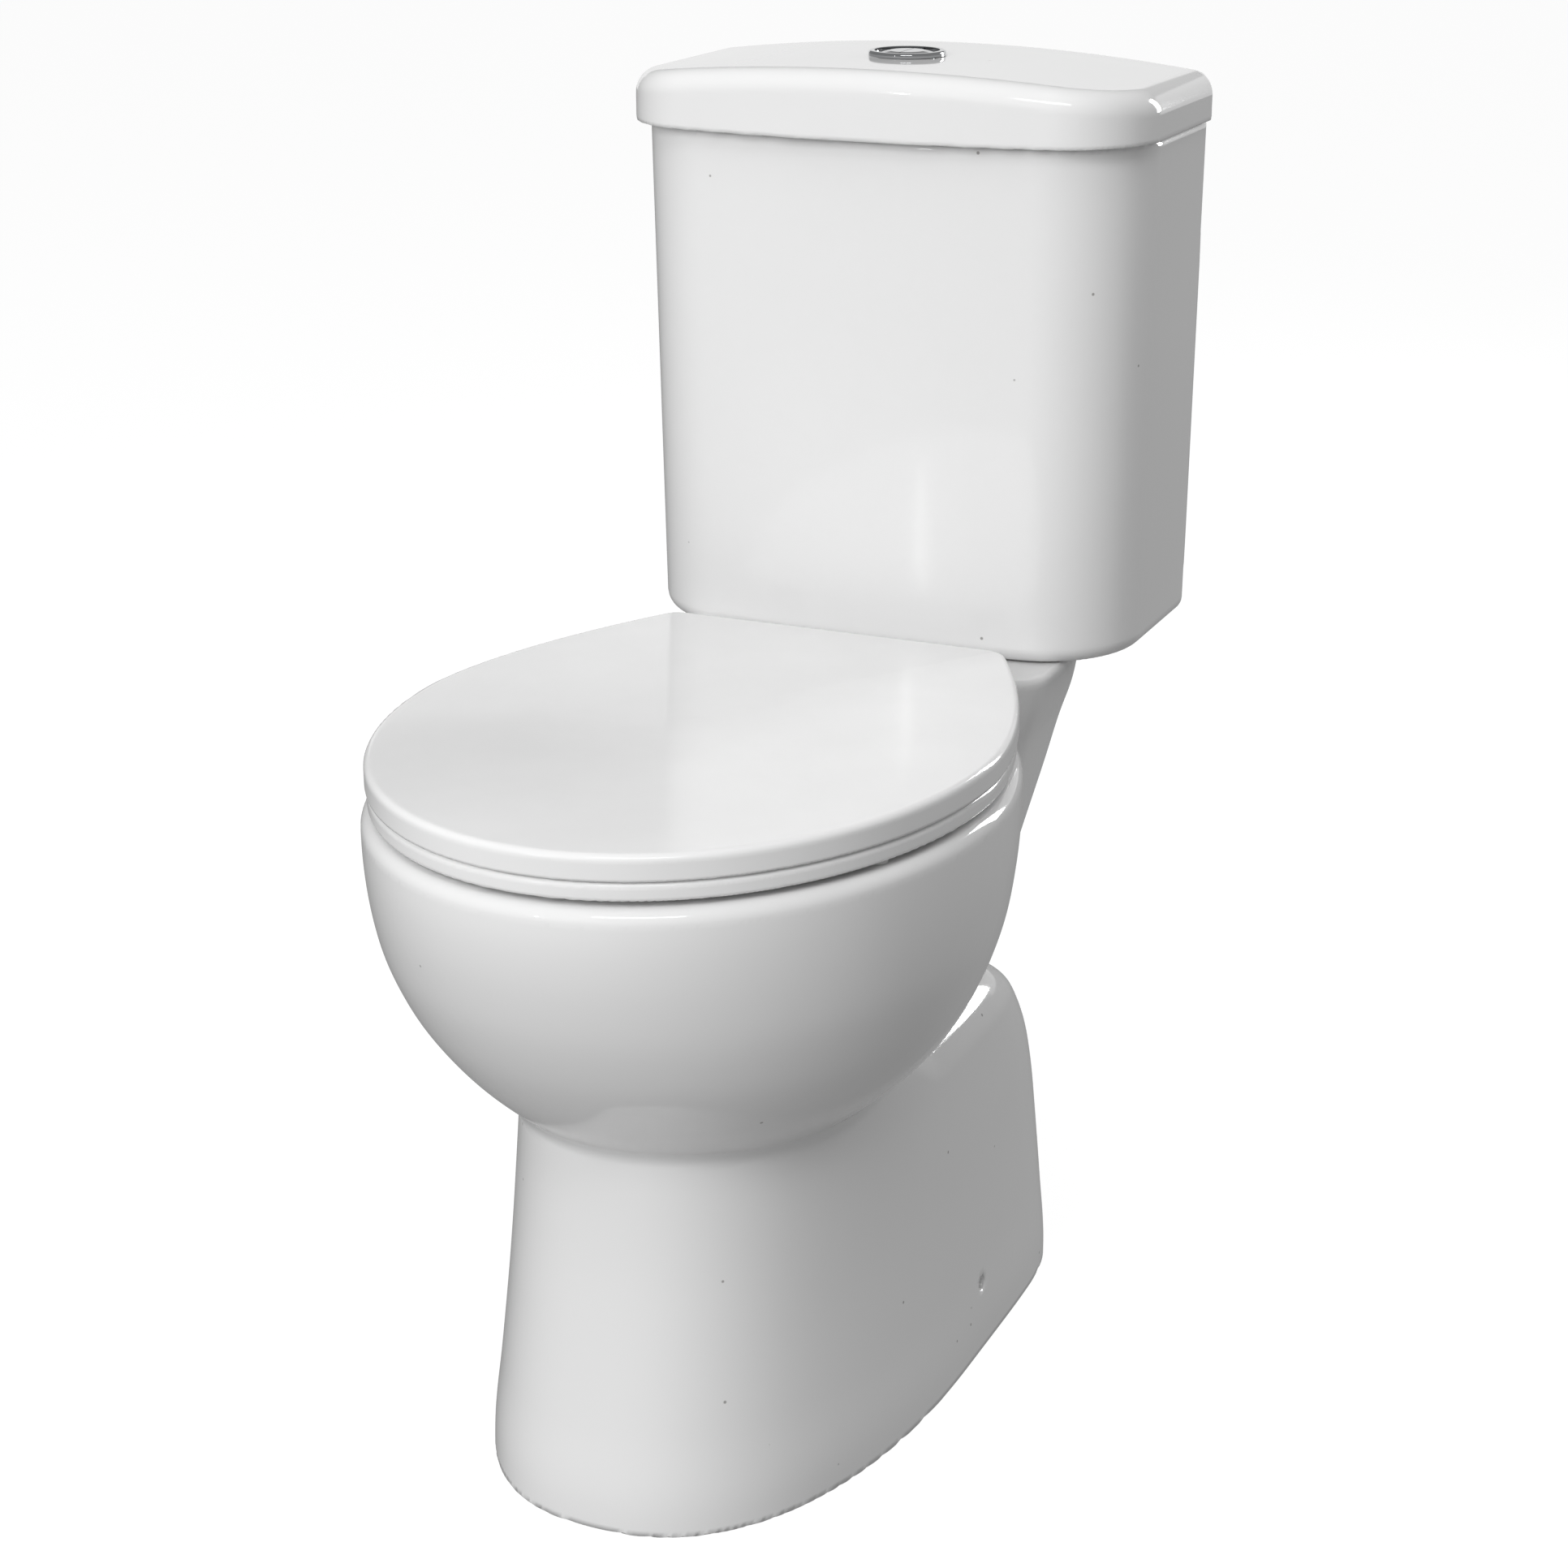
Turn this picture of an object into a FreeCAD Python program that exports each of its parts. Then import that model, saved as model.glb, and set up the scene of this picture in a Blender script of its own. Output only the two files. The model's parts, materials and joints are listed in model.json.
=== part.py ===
import FreeCAD, Part
import math
import os

# Close coupled toilet: a ceramic pan, a ceramic cistern that stands on it, a seat and cover, and
# the flushing and filling gear inside the cistern.  Millimetres, +Z up, front towards -Y.
# Depths ("d") are measured forward from the wall that the cistern's back touches, so y = WALL_Y - d.
# The origin is on the floor, under the middle of the whole toilet.

# ---------------------------------------------------------------- driving dimensions
DEPTH = 631.0                   # wall to the front of the pan
WALL_Y = DEPTH / 2
FIT = 0.3                       # gap between neighbours that only stand near each other
RUNNING = 0.05                  # radial clearance of a pin in its bore

RIM_Z = 415.0                   # top of the pan's rim
DECK_Z = 421.7                  # top of the platform that carries the cistern
TANK_Z = 422.0                  # underside of the cistern
LID_Z = 747.0                   # underside of the cistern lid's edge
LID_TOP_Z = 789.0               # crown of the lid

# Pan stations: height, half width, widest depth, front depth, rear depth
BOWL = [
    (180, 45, 372, 470, 310),
    (195, 70, 382, 496, 285),
    (210, 92, 389, 515, 268),
    (230, 115, 395, 536, 248),
    (250, 136.5, 400, 558, 230),
    (275, 154.5, 403, 580, 212),
    (300, 167, 405, 598, 197),
    (340, 178.5, 405, 618, 183),
    (380, 182.2, 403, 629, 176),
    (398, 182.5, 403, 631, 174),
    (409, 180, 403, 628.5, 176),
    (RIM_Z, 174, 403, 622, 182),
]
FOOT = [
    (0, 135, 301, 563, 106),
    (12, 134.5, 301, 562, 104),
    (60, 130, 301, 554, 104),
    (120, 124.5, 301, 545, 106),
    (160, 121.5, 301, 540, 114),
    (200, 118, 302, 537, 138),
    (225, 115, 304, 536, 168),
    (240, 111, 308, 534, 192),
    (250, 104, 312, 528, 214),
    (257, 90, 318, 515, 240),
    (261, 60, 330, 480, 280),
]
NECK = [
    (190, 50, 150, 200, 110),
    (220, 72, 142, 204, 92),
    (260, 88, 136, 204, 78),
    (300, 99, 134, 202, 62),
    (340, 110, 134, 200, 46),
    (380, 121, 136, 200, 34),
    (400, 128, 138, 200, 28),
    (RIM_Z, 132, 138, 200, 26),
    (DECK_Z, 130, 138, 197, 29),
]
NECK_HOLLOW = [
    (252, 54, 110, 186, -60),
    (320, 68, 110, 186, -60),
    (386, 80, 110, 186, -60),
]
BRIDGE = [
    (252, 82, 212, 256, 168),
    (285, 92, 210, 262, 160),
    (320, 108, 210, 266, 155),
    (360, 116, 210, 268, 152),
    (400, 124, 210, 270, 150),
    (RIM_Z, 126, 210, 270, 150),
]
BASIN = [
    (150, 34, 343, 376, 310),
    (185, 46, 357, 404, 310),
    (215, 72, 378, 470, 302),
    (250, 110, 395, 534, 272),
    (290, 139, 400, 574, 252),
    (330, 155, 403, 598, 244),
    (358, 160, 403, 604, 242),
    (382, 141, 402, 592, 244),
    (RIM_Z + 1, 141, 402, 592, 240),
]
SUMP_SKIN = [
    (118, 40, 337, 382, 298),
    (150, 48, 343, 392, 296),
    (185, 60, 357, 420, 296),
    (215, 86, 378, 486, 288),
    (250, 124, 395, 550, 258),
    (262, 130, 396, 556, 252),
]
CAVITY = [
    (-1, 123, 301, 551, 60),
    (60, 118, 301, 542, 60),
    (120, 112.5, 301, 533, 60),
    (160, 109.5, 301, 528, 60),
    (195, 104, 302, 520, 100),
    (212, 92, 306, 500, 160),
]
# Shoulder of the foot beside the bowl: (distance from the middle, height), sloping down to the flank
SHOULDER = [(118, 205), (103, 226), (40, 251), (40, 280), (130, 280), (130, 205)]
SHOULDER_D = (60.0, 280.0)
SHOULDER_RUNOUT = (14.0, 110.0, 25.0)   # outwards, forwards and upwards until it leaves the foot
BOWL_POWER = (2.03, 1.9)        # roundness of the front and rear halves of an outline
FOOT_POWER = (2.38, 6.0)
NECK_POWER = (6.0, 2.3)
BRIDGE_POWER = (3.0, 3.0)
BASIN_POWER = (2.1, 2.0)
CAVITY_POWER = (2.38, 6.0)
NECK_HOLLOW_POWER = (6.0, 6.0)
OUTLINE_STEP = 5                # degrees between the points of a pan outline

# Trapway: centre line (depth, height) down from the sump, up over the weir and out to the back
TRAP_LINE = [(372, 225), (335, 58), (205, 236), (150, 184), (40, 184)]
TRAP_BENDS = [45.0, 45.0, 45.0]
TRAP_BORE_R = 32.0
TRAP_SKIN_R = 42.0
OUTLET_R = 51.0
OUTLET_BORE_R = 43.0
OUTLET_D = (40.0, 80.0)         # mouth and root of the outlet's wide end, from the wall
OUTLET_Z = 184.0
MOUTH_DEPTH = 30.0              # how far the wider bore goes in

# Fixings through the deck
FIXING_X = 77.5                 # both the seat and the cistern bolts are 155 mm apart
BOLT_HOLE_R = 5.0
HOLE_FLOOR_Z = 380.0            # the bolt holes start inside the pockets
POCKET_R = 23.0
POCKET_X = 73.0
POCKET_Z = 375.0
POCKET_END_D = 230.0
POCKET_BACK_D = 72.0
VALVE_D = 85.0                  # flush valve and cistern bolts, from the wall
INLET_R = 36.0
RECESS_R = 50.0
RECESS_Z = 400.0
CHANNEL_R = 18.0
CHANNEL_Z = 374.0
CHANNEL_FRONT_D = 250.0
HOLLOW_SKIN = 10.0              # ceramic left around the inlet and the channel
INLET_FLOOR_Z = 358.0
SIDE_HOLE = (273.0, 44.0)       # depth and height of the side fixing hole
SIDE_HOLE_R = 5.0

# Cistern: half width, depth at the side, bow of the front, front and rear corner radii
TANK_TOP = (169.3, 157.5, 14.0, 59.0, 11.5)
TANK_BASE = (165.7, 151.4, 14.0, 59.0, 11.5)
TANK_WALL = 9.0
TANK_FLOOR = 12.0
TANK_EDGE_R = 11.0
TANK_TOP_Z = 746.5
LID_PLAN = (173.0, 164.5, 20.0, 50.0, 14.6)
LID_CROWN_R = 1264.0
LID_EDGE_R = 14.0
LID_HOLLOW_Z = 768.0            # ceiling of the hollow under the lid
LID_RIM = 15.0                  # width of the lid's rim
FLUSH_HOLE_R = 31.5
FILL_HOLE_R = 11.0
WALL_HOLE_R = 4.0
WALL_HOLE_Z = 650.0

# Seat and cover
SEAT_HALF = 180.0
SEAT_WIDEST_D = 403.4
SEAT_FRONT_D = 628.9
SEAT_BACK_HALF = 112.5
SEAT_BACK_D = 204.8
SEAT_SIDE_POWER = 1.70
SEAT_CORNER_R = 9.0
RING_Z = (419.0, 429.4)
RING_HOLE = (112.0, 408.0, 560.0, 262.0)     # half width, widest, front and rear depth
COVER_Z = (430.2, 445.0)
COVER_CROWN = 2.5
COVER_SHELL = 4.5
COVER_LIP = 6.0                 # width of the cover's turned-down edge
HINGE_D = 217.0
HINGE_Z = 429.7
PIN_R = 4.0
KNUCKLE_R = 8.0
RING_KNUCKLE = (90.0, 100.0)    # distances from the middle
COVER_KNUCKLE = (57.0, 65.0)
POST_R = 9.0
POST_DOME_R = 10.2              # the post's head is rounded about the hinge line
POST_GAP = 11.5
RING_BACK_D = 218.0             # the ring ends in front of the hinge line
POST_FOOT = (10.0, 1.8)         # radius and height of the post's foot
NOTCH_REACH = 17.0              # how far the slots for the posts pass the hinge line
NOTCH_TOP_Z = 440.5
BOLT_R = 3.0
PIN_LENGTH = 43.0
RING_PADS = ((150.0, 330.0), (150.0, 500.0))     # distance from the middle and depth
COVER_PADS = ((148.0, 340.0), (148.0, 480.0))

# Flush buttons
BUTTON_D = 93.0
BEZEL_R = 24.4
BUTTON_R = 20.5
BUTTON_HOLE_R = 19.0
PLATE_Z = LID_TOP_Z + FIT       # underside of the bezel's flange, on the lid's crown
BEZEL_TOP_Z = PLATE_Z + 3.0
BEZEL_FLOOR_Z = PLATE_Z - 22.0  # the springs stand on this floor
SLEEVE = (18.4, 16.6, 45.0)     # outer radius, inner radius and length of the bezel's sleeve
CAP_R = 16.2
CAP_HEIGHT = 9.3
CAP_DOME_R = 70.0
HALF_GAP = 0.25                 # half the slit between the two buttons
ROD_X = 9.0
ROD_R = 2.4
SPRING = (4.4, 0.5, 5)          # radius, wire radius and turns
LEVER_PIVOT_D = 60.0
LEVER_Z = 664.0
LEVER_PIN_R = 1.5

# Flush valve
VALVE_THREAD_R = 30.0
VALVE_BORE_R = 26.0
VALVE_LOW_Z = 396.0
TOWER_RING_R = 41.0
TOWER_POST_R = 3.0
TOWER_POST_SPREAD = 37.3
EAR = (3.3, 5.3)                # an ear's inner and outer distance from its lever's middle
OVERFLOW_R = 14.0
SEAL_R = 32.0
SEAL_HEIGHT = 28.0              # the valve's seat above the cistern's floor

# Cistern bolts
COUPLING_R = 4.0
WASHER_Z = 391.0
WASHER_R = 9.0

# Fill valve
FILL_X = -136.0
FILL_D = 60.0
FILL_THREAD = (10.4, 25.0)      # radius and length of the thread that the supply screws on to
FILL_TAIL_R = 10.7
FILL_LOW_Z = 386.0
FLOAT_X = -98.0
ARM_PIVOT_X = -120.0
ARM_Z = 706.0
ARM_REST_DEG = 30.0
ARM_PIN_R = 1.5
FILL_STEM_R = 9.0
FILL_STEM_HEIGHT = 261.0
FLOAT_R = 19.0
FLOAT_HEIGHT = 50.0

# Floor fixings inside the foot
BRACKET_X = (84.0, 114.0)
BRACKET_HALF = 18.0
BRACKET_SCREW_X = 92.0
SCREW_R = 2.3
SCREW_HEAD_R = 4.4

os.makedirs("parts", exist_ok=True)


# ---------------------------------------------------------------- small tools
def at(x, d, z):
    return FreeCAD.Vector(x, WALL_Y - d, z)


UP = FreeCAD.Vector(0, 0, 1)
RIGHT = FreeCAD.Vector(1, 0, 0)
BACK = FreeCAD.Vector(0, 1, 0)


def rod(radius, length, x, d, z, along=UP):
    """A round bar that starts at a point and runs along a direction."""
    return Part.makeCylinder(radius, length, at(x, d, z), along)


def tube(outer, inner, length, x, d, z, along=UP):
    start = at(x, d, z) - along * 1.0
    return rod(outer, length, x, d, z, along).cut(Part.makeCylinder(inner, length + 2, start, along))


def block(x0, x1, d0, d1, z0, z1):
    """A box between two side positions, two depths and two heights."""
    return Part.makeBox(x1 - x0, d1 - d0, z1 - z0, at(x0, d1, z0))


def hex_nut(flats, bore, height, x, d, z):
    corners = []
    for k in range(7):
        a = math.radians(60 * k + 30)
        r = flats / math.sqrt(3)
        corners.append(at(x + r * math.cos(a), d + r * math.sin(a), z))
    body = Part.Face(Part.makePolygon(corners)).extrude(UP * height)
    return body.cut(rod(bore, height + 2, x, d, z - 1))


def join(first, *rest):
    return first.fuse(list(rest)).removeSplitter() if rest else first


def save(name, *shapes):
    """Write one node: every solid of the given shapes."""
    solids = [s for shape in shapes for s in shape.Solids]
    for s in solids:
        if not s.isValid() or s.Volume <= 0:
            raise ValueError(name + " has a broken solid")
    result = solids[0] if len(solids) == 1 else Part.makeCompound(solids)
    result.exportStep("parts/" + name + ".step")
    volume = sum(s.Volume for s in solids) / 1000
    print(name, len(solids), "solid(s)", round(volume, 1), "cm3")


def spline_loop(half, z):
    """A closed outline, symmetric about x = 0, from the points of its +X half, front to rear."""
    steps = [i / (len(half) - 1) for i in range(len(half))]
    edges = []
    for side in (1, -1):
        curve = Part.BSplineCurve()
        points = [at(side * x, d, z) for x, d in half]
        if side < 0:
            points.reverse()
        curve.interpolate(Points=points, Parameters=steps)
        edges.append(curve.toShape())
    return Part.Wire(edges)


def egg_half(half_width, widest, front, rear, powers):
    """Half of an egg-like outline: two superellipse halves that meet where it is widest."""
    points = []
    for angle in range(90, -91, -OUTLINE_STEP):
        c = math.cos(math.radians(angle))
        s = math.sin(math.radians(angle))
        length = front - widest if s > 0 else widest - rear
        n = powers[0] if s > 0 else powers[1]
        r = ((abs(c) / half_width) ** n + (abs(s) / length) ** n) ** (-1 / n)
        points.append((0.0 if abs(angle) == 90 else r * c, widest + r * s))
    return points


def egg_loft(stations, powers):
    loops = [spline_loop(egg_half(*row[1:], powers), row[0]) for row in stations]
    return Part.makeLoft(loops, True, False)


# ---------------------------------------------------------------- pan
def trap_path(line, bends):
    """Straight runs joined by tangent arcs, in the x = 0 plane."""
    points = [at(0, d, z) for d, z in line]
    edges = []
    start = points[0]
    for corner, after, radius in zip(points[1:-1], points[2:], bends):
        inward = (start - corner).normalize()
        outward = (after - corner).normalize()
        half_angle = inward.getAngle(outward) / 2
        reach = radius / math.tan(half_angle)
        first = corner + inward * reach
        last = corner + outward * reach
        bisector = (inward + outward).normalize()
        middle = corner + bisector * (radius / math.sin(half_angle) - radius)
        edges.append(Part.LineSegment(start, first).toShape())
        edges.append(Part.Arc(first, middle, last).toShape())
        start = last
    edges.append(Part.LineSegment(start, points[-1]).toShape())
    return Part.Wire(edges)


def trap_tube(radius):
    path = trap_path(TRAP_LINE, TRAP_BENDS)
    first, second = [at(0, d, z) for d, z in TRAP_LINE[:2]]
    profile = Part.Wire([Part.makeCircle(radius, first, second - first)])
    return path.makePipeShell([profile], True, False)


def make_foot():
    """The skirted foot, with its upper edges cut to slope down beside and behind the bowl."""
    foot = egg_loft(FOOT, FOOT_POWER)
    near, far = SHOULDER_D
    out, forwards, upwards = SHOULDER_RUNOUT
    for side in (1, -1):
        corners = [at(side * x, near, z) for x, z in SHOULDER + SHOULDER[:1]]
        profile = Part.Face(Part.makePolygon(corners))
        foot = foot.cut(profile.extrude(BACK * (near - far)))
        profile.translate(BACK * (near - far))
        foot = foot.cut(profile.extrude(FreeCAD.Vector(side * out, -forwards, upwards)))
    return foot


def make_pan():
    shell = egg_loft(BOWL, BOWL_POWER)
    shell = shell.fuse(make_foot())
    shell = shell.fuse(egg_loft(NECK, NECK_POWER))
    shell = shell.fuse(egg_loft(BRIDGE, BRIDGE_POWER))
    shell = shell.cut(egg_loft(CAVITY, CAVITY_POWER).cut(egg_loft(SUMP_SKIN, BASIN_POWER)))
    # the trapway hangs in the hollow foot and ends in a round outlet
    mouth, root = OUTLET_D
    trap_skin = trap_tube(TRAP_SKIN_R)
    outlet = rod(OUTLET_R, root - mouth, 0, root, OUTLET_Z, BACK)
    shell = shell.fuse(trap_skin).fuse(outlet)
    neck_hollow = egg_loft(NECK_HOLLOW, NECK_HOLLOW_POWER)
    neck_hollow = neck_hollow.cut(rod(CHANNEL_R + HOLLOW_SKIN, 260, 0, POCKET_END_D, CHANNEL_Z, BACK))
    inlet_skin = rod(INLET_R + HOLLOW_SKIN, 60, 0, VALVE_D, INLET_FLOOR_Z - HOLLOW_SKIN)
    neck_hollow = neck_hollow.cut(inlet_skin)
    shell = shell.cut(neck_hollow.cut(trap_skin).cut(outlet))
    shell = shell.cut(trap_tube(TRAP_BORE_R))
    shell = shell.cut(rod(OUTLET_BORE_R, MOUTH_DEPTH + 10, 0, mouth + MOUTH_DEPTH, OUTLET_Z, BACK))
    shell = shell.cut(egg_loft(BASIN, BASIN_POWER))
    shell = shell.cut(rod(RECESS_R, 60, 0, VALVE_D, RECESS_Z))
    shell = shell.cut(rod(INLET_R, 60, 0, VALVE_D, INLET_FLOOR_Z))
    shell = shell.cut(rod(CHANNEL_R, CHANNEL_FRONT_D - VALVE_D, 0, CHANNEL_FRONT_D, CHANNEL_Z, BACK))
    for side in (1, -1):
        pocket_length = POCKET_END_D - POCKET_BACK_D
        shell = shell.cut(rod(POCKET_R, pocket_length, side * POCKET_X, POCKET_END_D, POCKET_Z, BACK))
        for d in (VALVE_D, HINGE_D):
            shell = shell.cut(rod(BOLT_HOLE_R, 60, side * FIXING_X, d, HOLE_FLOOR_Z))
        shell = shell.cut(rod(SIDE_HOLE_R, 40, side * 140, SIDE_HOLE[0], SIDE_HOLE[1], RIGHT * -side))
    return max(shell.Solids, key=lambda s: s.Volume)


# ---------------------------------------------------------------- cistern
def bowed_loop(plan, z, inset=0.0, past=0.0):
    """A rounded rectangle against the wall, or a little past it, whose front is a shallow arc."""
    half, side_depth, bow, front_r, rear_r = plan
    half -= inset
    front_r = max(front_r - inset, 2.0)
    rear_r = max(rear_r - inset, 2.0)
    back = inset - past
    front = side_depth + bow - inset
    big_r = (plan[0] ** 2 + bow ** 2) / (2 * bow) - inset
    centre_d = front - big_r
    corner_x = half - front_r
    corner_d = centre_d + math.sqrt((big_r - front_r) ** 2 - corner_x ** 2)
    lean = math.atan2(corner_x, corner_d - centre_d)
    joint = (big_r * math.sin(lean), centre_d + big_r * math.cos(lean))
    mid = (lean + math.pi / 2) / 2
    bulge = (corner_x + front_r * math.sin(mid), corner_d + front_r * math.cos(mid))
    tuck = rear_r * (1 - math.sqrt(0.5))

    def p(x, d):
        return at(x, d, z)

    pieces = [
        Part.LineSegment(p(-half + rear_r, back), p(half - rear_r, back)),
        Part.Arc(p(half - rear_r, back), p(half - tuck, back + tuck), p(half, back + rear_r)),
        Part.LineSegment(p(half, back + rear_r), p(half, corner_d)),
        Part.Arc(p(half, corner_d), p(*bulge), p(*joint)),
        Part.Arc(p(*joint), p(0, front), p(-joint[0], joint[1])),
        Part.Arc(p(-joint[0], joint[1]), p(-bulge[0], bulge[1]), p(-half, corner_d)),
        Part.LineSegment(p(-half, corner_d), p(-half, back + rear_r)),
        Part.Arc(p(-half, back + rear_r), p(-half + tuck, back + tuck), p(-half + rear_r, back)),
    ]
    return Part.Wire([piece.toShape() for piece in pieces])


def edges_at(shape, z, tolerance=0.2):
    return [
        e for e in shape.Edges
        if abs(e.BoundBox.ZMin - z) < tolerance and abs(e.BoundBox.ZMax - z) < tolerance
    ]


def make_tank():
    loops = [bowed_loop(TANK_BASE, TANK_Z, past=1.0), bowed_loop(TANK_TOP, TANK_TOP_Z, past=1.0)]
    outside = Part.makeLoft(loops, True, True)
    rounded = [e for e in edges_at(outside, TANK_Z) if e.BoundBox.YMin < WALL_Y - 3]
    outside = outside.makeFillet(TANK_EDGE_R, rounded)
    outside = outside.common(block(-300, 300, 0, 300, TANK_Z - 10, TANK_TOP_Z + 10))
    floor_z = TANK_Z + TANK_FLOOR
    inside = Part.makeLoft(
        [bowed_loop(TANK_BASE, floor_z, TANK_WALL), bowed_loop(TANK_TOP, TANK_TOP_Z + 1, TANK_WALL)],
        True, True,
    )
    tank = outside.cut(inside)
    tank = tank.cut(rod(FLUSH_HOLE_R, 40, 0, VALVE_D, TANK_Z - 10))
    for x in (FIXING_X, -FIXING_X):
        tank = tank.cut(rod(BOLT_HOLE_R, 40, x, VALVE_D, TANK_Z - 10))
        tank = tank.cut(rod(WALL_HOLE_R, 30, x, 20, WALL_HOLE_Z, BACK))
    return tank.cut(rod(FILL_HOLE_R, 40, FILL_X, FILL_D, TANK_Z - 10))


def make_lid():
    blank = Part.Face(bowed_loop(LID_PLAN, LID_Z)).extrude(UP * 60)
    crown = Part.makeCylinder(LID_CROWN_R, 400, at(0, 300, LID_TOP_Z - LID_CROWN_R), BACK)
    outside = blank.common(crown)
    top_face = max(outside.Faces, key=lambda f: f.CenterOfMass.z)
    outside = outside.makeFillet(LID_EDGE_R, top_face.Edges)
    hollow = Part.Face(bowed_loop(LID_PLAN, LID_Z - 1, LID_RIM)).extrude(UP * (LID_HOLLOW_Z - LID_Z + 1))
    return outside.cut(hollow).cut(rod(BUTTON_HOLE_R, 60, 0, BUTTON_D, LID_Z - 5))


# ---------------------------------------------------------------- seat
def seat_half(inset):
    """The +X half of the seat's D-shaped outline, front to rear, pulled in by an inset."""
    half = SEAT_HALF - inset
    front = SEAT_FRONT_D - inset
    back = SEAT_BACK_D + inset
    back_half = SEAT_BACK_HALF - inset
    points = []
    for k in range(19):
        a = math.radians(90 - 5 * k)
        points.append((half * math.cos(a), SEAT_WIDEST_D + (front - SEAT_WIDEST_D) * math.sin(a)))
    points[0] = (0.0, front)
    end_d = back + SEAT_CORNER_R
    for k in range(1, 11):
        d = SEAT_WIDEST_D - (SEAT_WIDEST_D - end_d) * k / 10
        u = (SEAT_WIDEST_D - d) / (SEAT_WIDEST_D - back)
        points.append((back_half + (half - back_half) * (1 - u ** SEAT_SIDE_POWER), d))
    last_x = points[-1][0]
    for degrees in (30, 60, 90):
        a = math.radians(degrees)
        points.append((last_x - SEAT_CORNER_R * (1 - math.cos(a)), end_d - SEAT_CORNER_R * math.sin(a)))
    for share in (0.66, 0.33, 0.0):
        points.append(((last_x - SEAT_CORNER_R) * share, back))
    return points


def seat_loop(inset, z):
    half = seat_half(inset)
    lengths = [0.0]
    for a, b in zip(half, half[1:]):
        lengths.append(lengths[-1] + math.dist(a, b))
    steps = [length / lengths[-1] for length in lengths]
    edges = []
    for side in (1, -1):
        points = [at(side * x, d, z) for x, d in half]
        values = steps
        if side < 0:
            points.reverse()
            values = [1 - s for s in reversed(steps)]
        curve = Part.BSplineCurve()
        curve.interpolate(Points=points, Parameters=values)
        edges.append(curve.toShape())
    return Part.Wire(edges)


def seat_slab(z0, z1, low_r, high_r, inset=0.0):
    """A D-shaped slab whose lower and upper edges are chamfered by two sizes."""
    loops = [
        seat_loop(inset + low_r, z0),
        seat_loop(inset, z0 + low_r),
        seat_loop(inset, z1 - high_r),
        seat_loop(inset + high_r, z1),
    ]
    return Part.makeLoft(loops, True, True)


def post_notches(z0, z1):
    cuts = []
    for x in (FIXING_X, -FIXING_X):
        cuts.append(block(x - POST_GAP, x + POST_GAP, 190, HINGE_D + NOTCH_REACH, z0, z1))
    return cuts


def hinge_cylinder(radius, side, near, far):
    """A cylinder on the hinge line between two distances from the middle, on one side."""
    start = near if side > 0 else -far
    return Part.makeCylinder(radius, far - near, at(start, HINGE_D, HINGE_Z), RIGHT)


def side_block(side, near, far, d0, d1, z0, z1):
    return block(near if side > 0 else -far, far if side > 0 else -near, d0, d1, z0, z1)


def make_ring():
    ring = seat_slab(RING_Z[0], RING_Z[1], 2.0, 2.5, 1.0)
    half_width, widest, front, rear = RING_HOLE
    hole = egg_half(half_width, widest, front, rear, (2.1, 2.2))
    ring = ring.cut(Part.Face(spline_loop(hole, RING_Z[0] - 5)).extrude(UP * 30))
    ring = ring.cut(block(-200, 200, 150, RING_BACK_D, 400, 460))
    ring = ring.cut(post_notches(410, 450))
    for side in (1, -1):
        ring = ring.fuse(hinge_cylinder(KNUCKLE_R, side, *RING_KNUCKLE))
        slot_near, slot_far = COVER_KNUCKLE[0] - 1, COVER_KNUCKLE[1] + 1
        ring = ring.cut(side_block(side, slot_near, slot_far, 190, HINGE_D + 10, 410, 450))
        ring = ring.cut(hinge_cylinder(PIN_R + RUNNING, side, 50, 105))
    return max(ring.Solids, key=lambda s: s.Volume)


def make_cover():
    cover = seat_slab(COVER_Z[0], COVER_Z[1], 1.0, 3.0)
    crown = Part.makeLoft([seat_loop(3.0, COVER_Z[1]), seat_loop(40.0, COVER_Z[1] + COVER_CROWN * 0.7),
                           seat_loop(90.0, COVER_Z[1] + COVER_CROWN)], True, True)
    cover = cover.fuse(crown)
    hollow_height = COVER_Z[1] - COVER_SHELL - COVER_Z[0] + 1
    hollow = Part.Face(seat_loop(COVER_LIP, COVER_Z[0] - 1)).extrude(UP * hollow_height)
    cover = cover.cut(hollow)
    cover = cover.cut(post_notches(420, NOTCH_TOP_Z))
    for side in (1, -1):
        near, far = COVER_KNUCKLE
        web = side_block(side, near, far, HINGE_D - 6, HINGE_D + 6, HINGE_Z, COVER_Z[1] - 3)
        cover = cover.fuse([hinge_cylinder(KNUCKLE_R, side, near, far), web])
        cover = cover.cut(hinge_cylinder(KNUCKLE_R + 0.5, side, RING_KNUCKLE[0] - 1, RING_KNUCKLE[1] + 1))
        cover = cover.cut(hinge_cylinder(PIN_R + RUNNING, side, 50, 105))
    return max(cover.Solids, key=lambda s: s.Volume)


# ---------------------------------------------------------------- seat fittings
def mirrored(places):
    return [(side * x, d) for x, d in places for side in (1, -1)]


def hinge_post(x):
    foot = rod(POST_FOOT[0], POST_FOOT[1], x, HINGE_D, RIM_Z)
    column = rod(POST_R, 25.0, x, HINGE_D, RIM_Z)
    dome = Part.makeCylinder(POST_DOME_R, 40, at(x - 20, HINGE_D, HINGE_Z), RIGHT)
    lower = block(x - 20, x + 20, HINGE_D - 20, HINGE_D + 20, RIM_Z, HINGE_Z)
    post = join(foot, column.common(dome.fuse(lower)))
    post = post.cut(Part.makeCylinder(PIN_R, 40, at(x - 20, HINGE_D, HINGE_Z), RIGHT))
    return post.cut(rod(BOLT_R, 9.0, x, HINGE_D, RIM_Z - 1))


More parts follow.
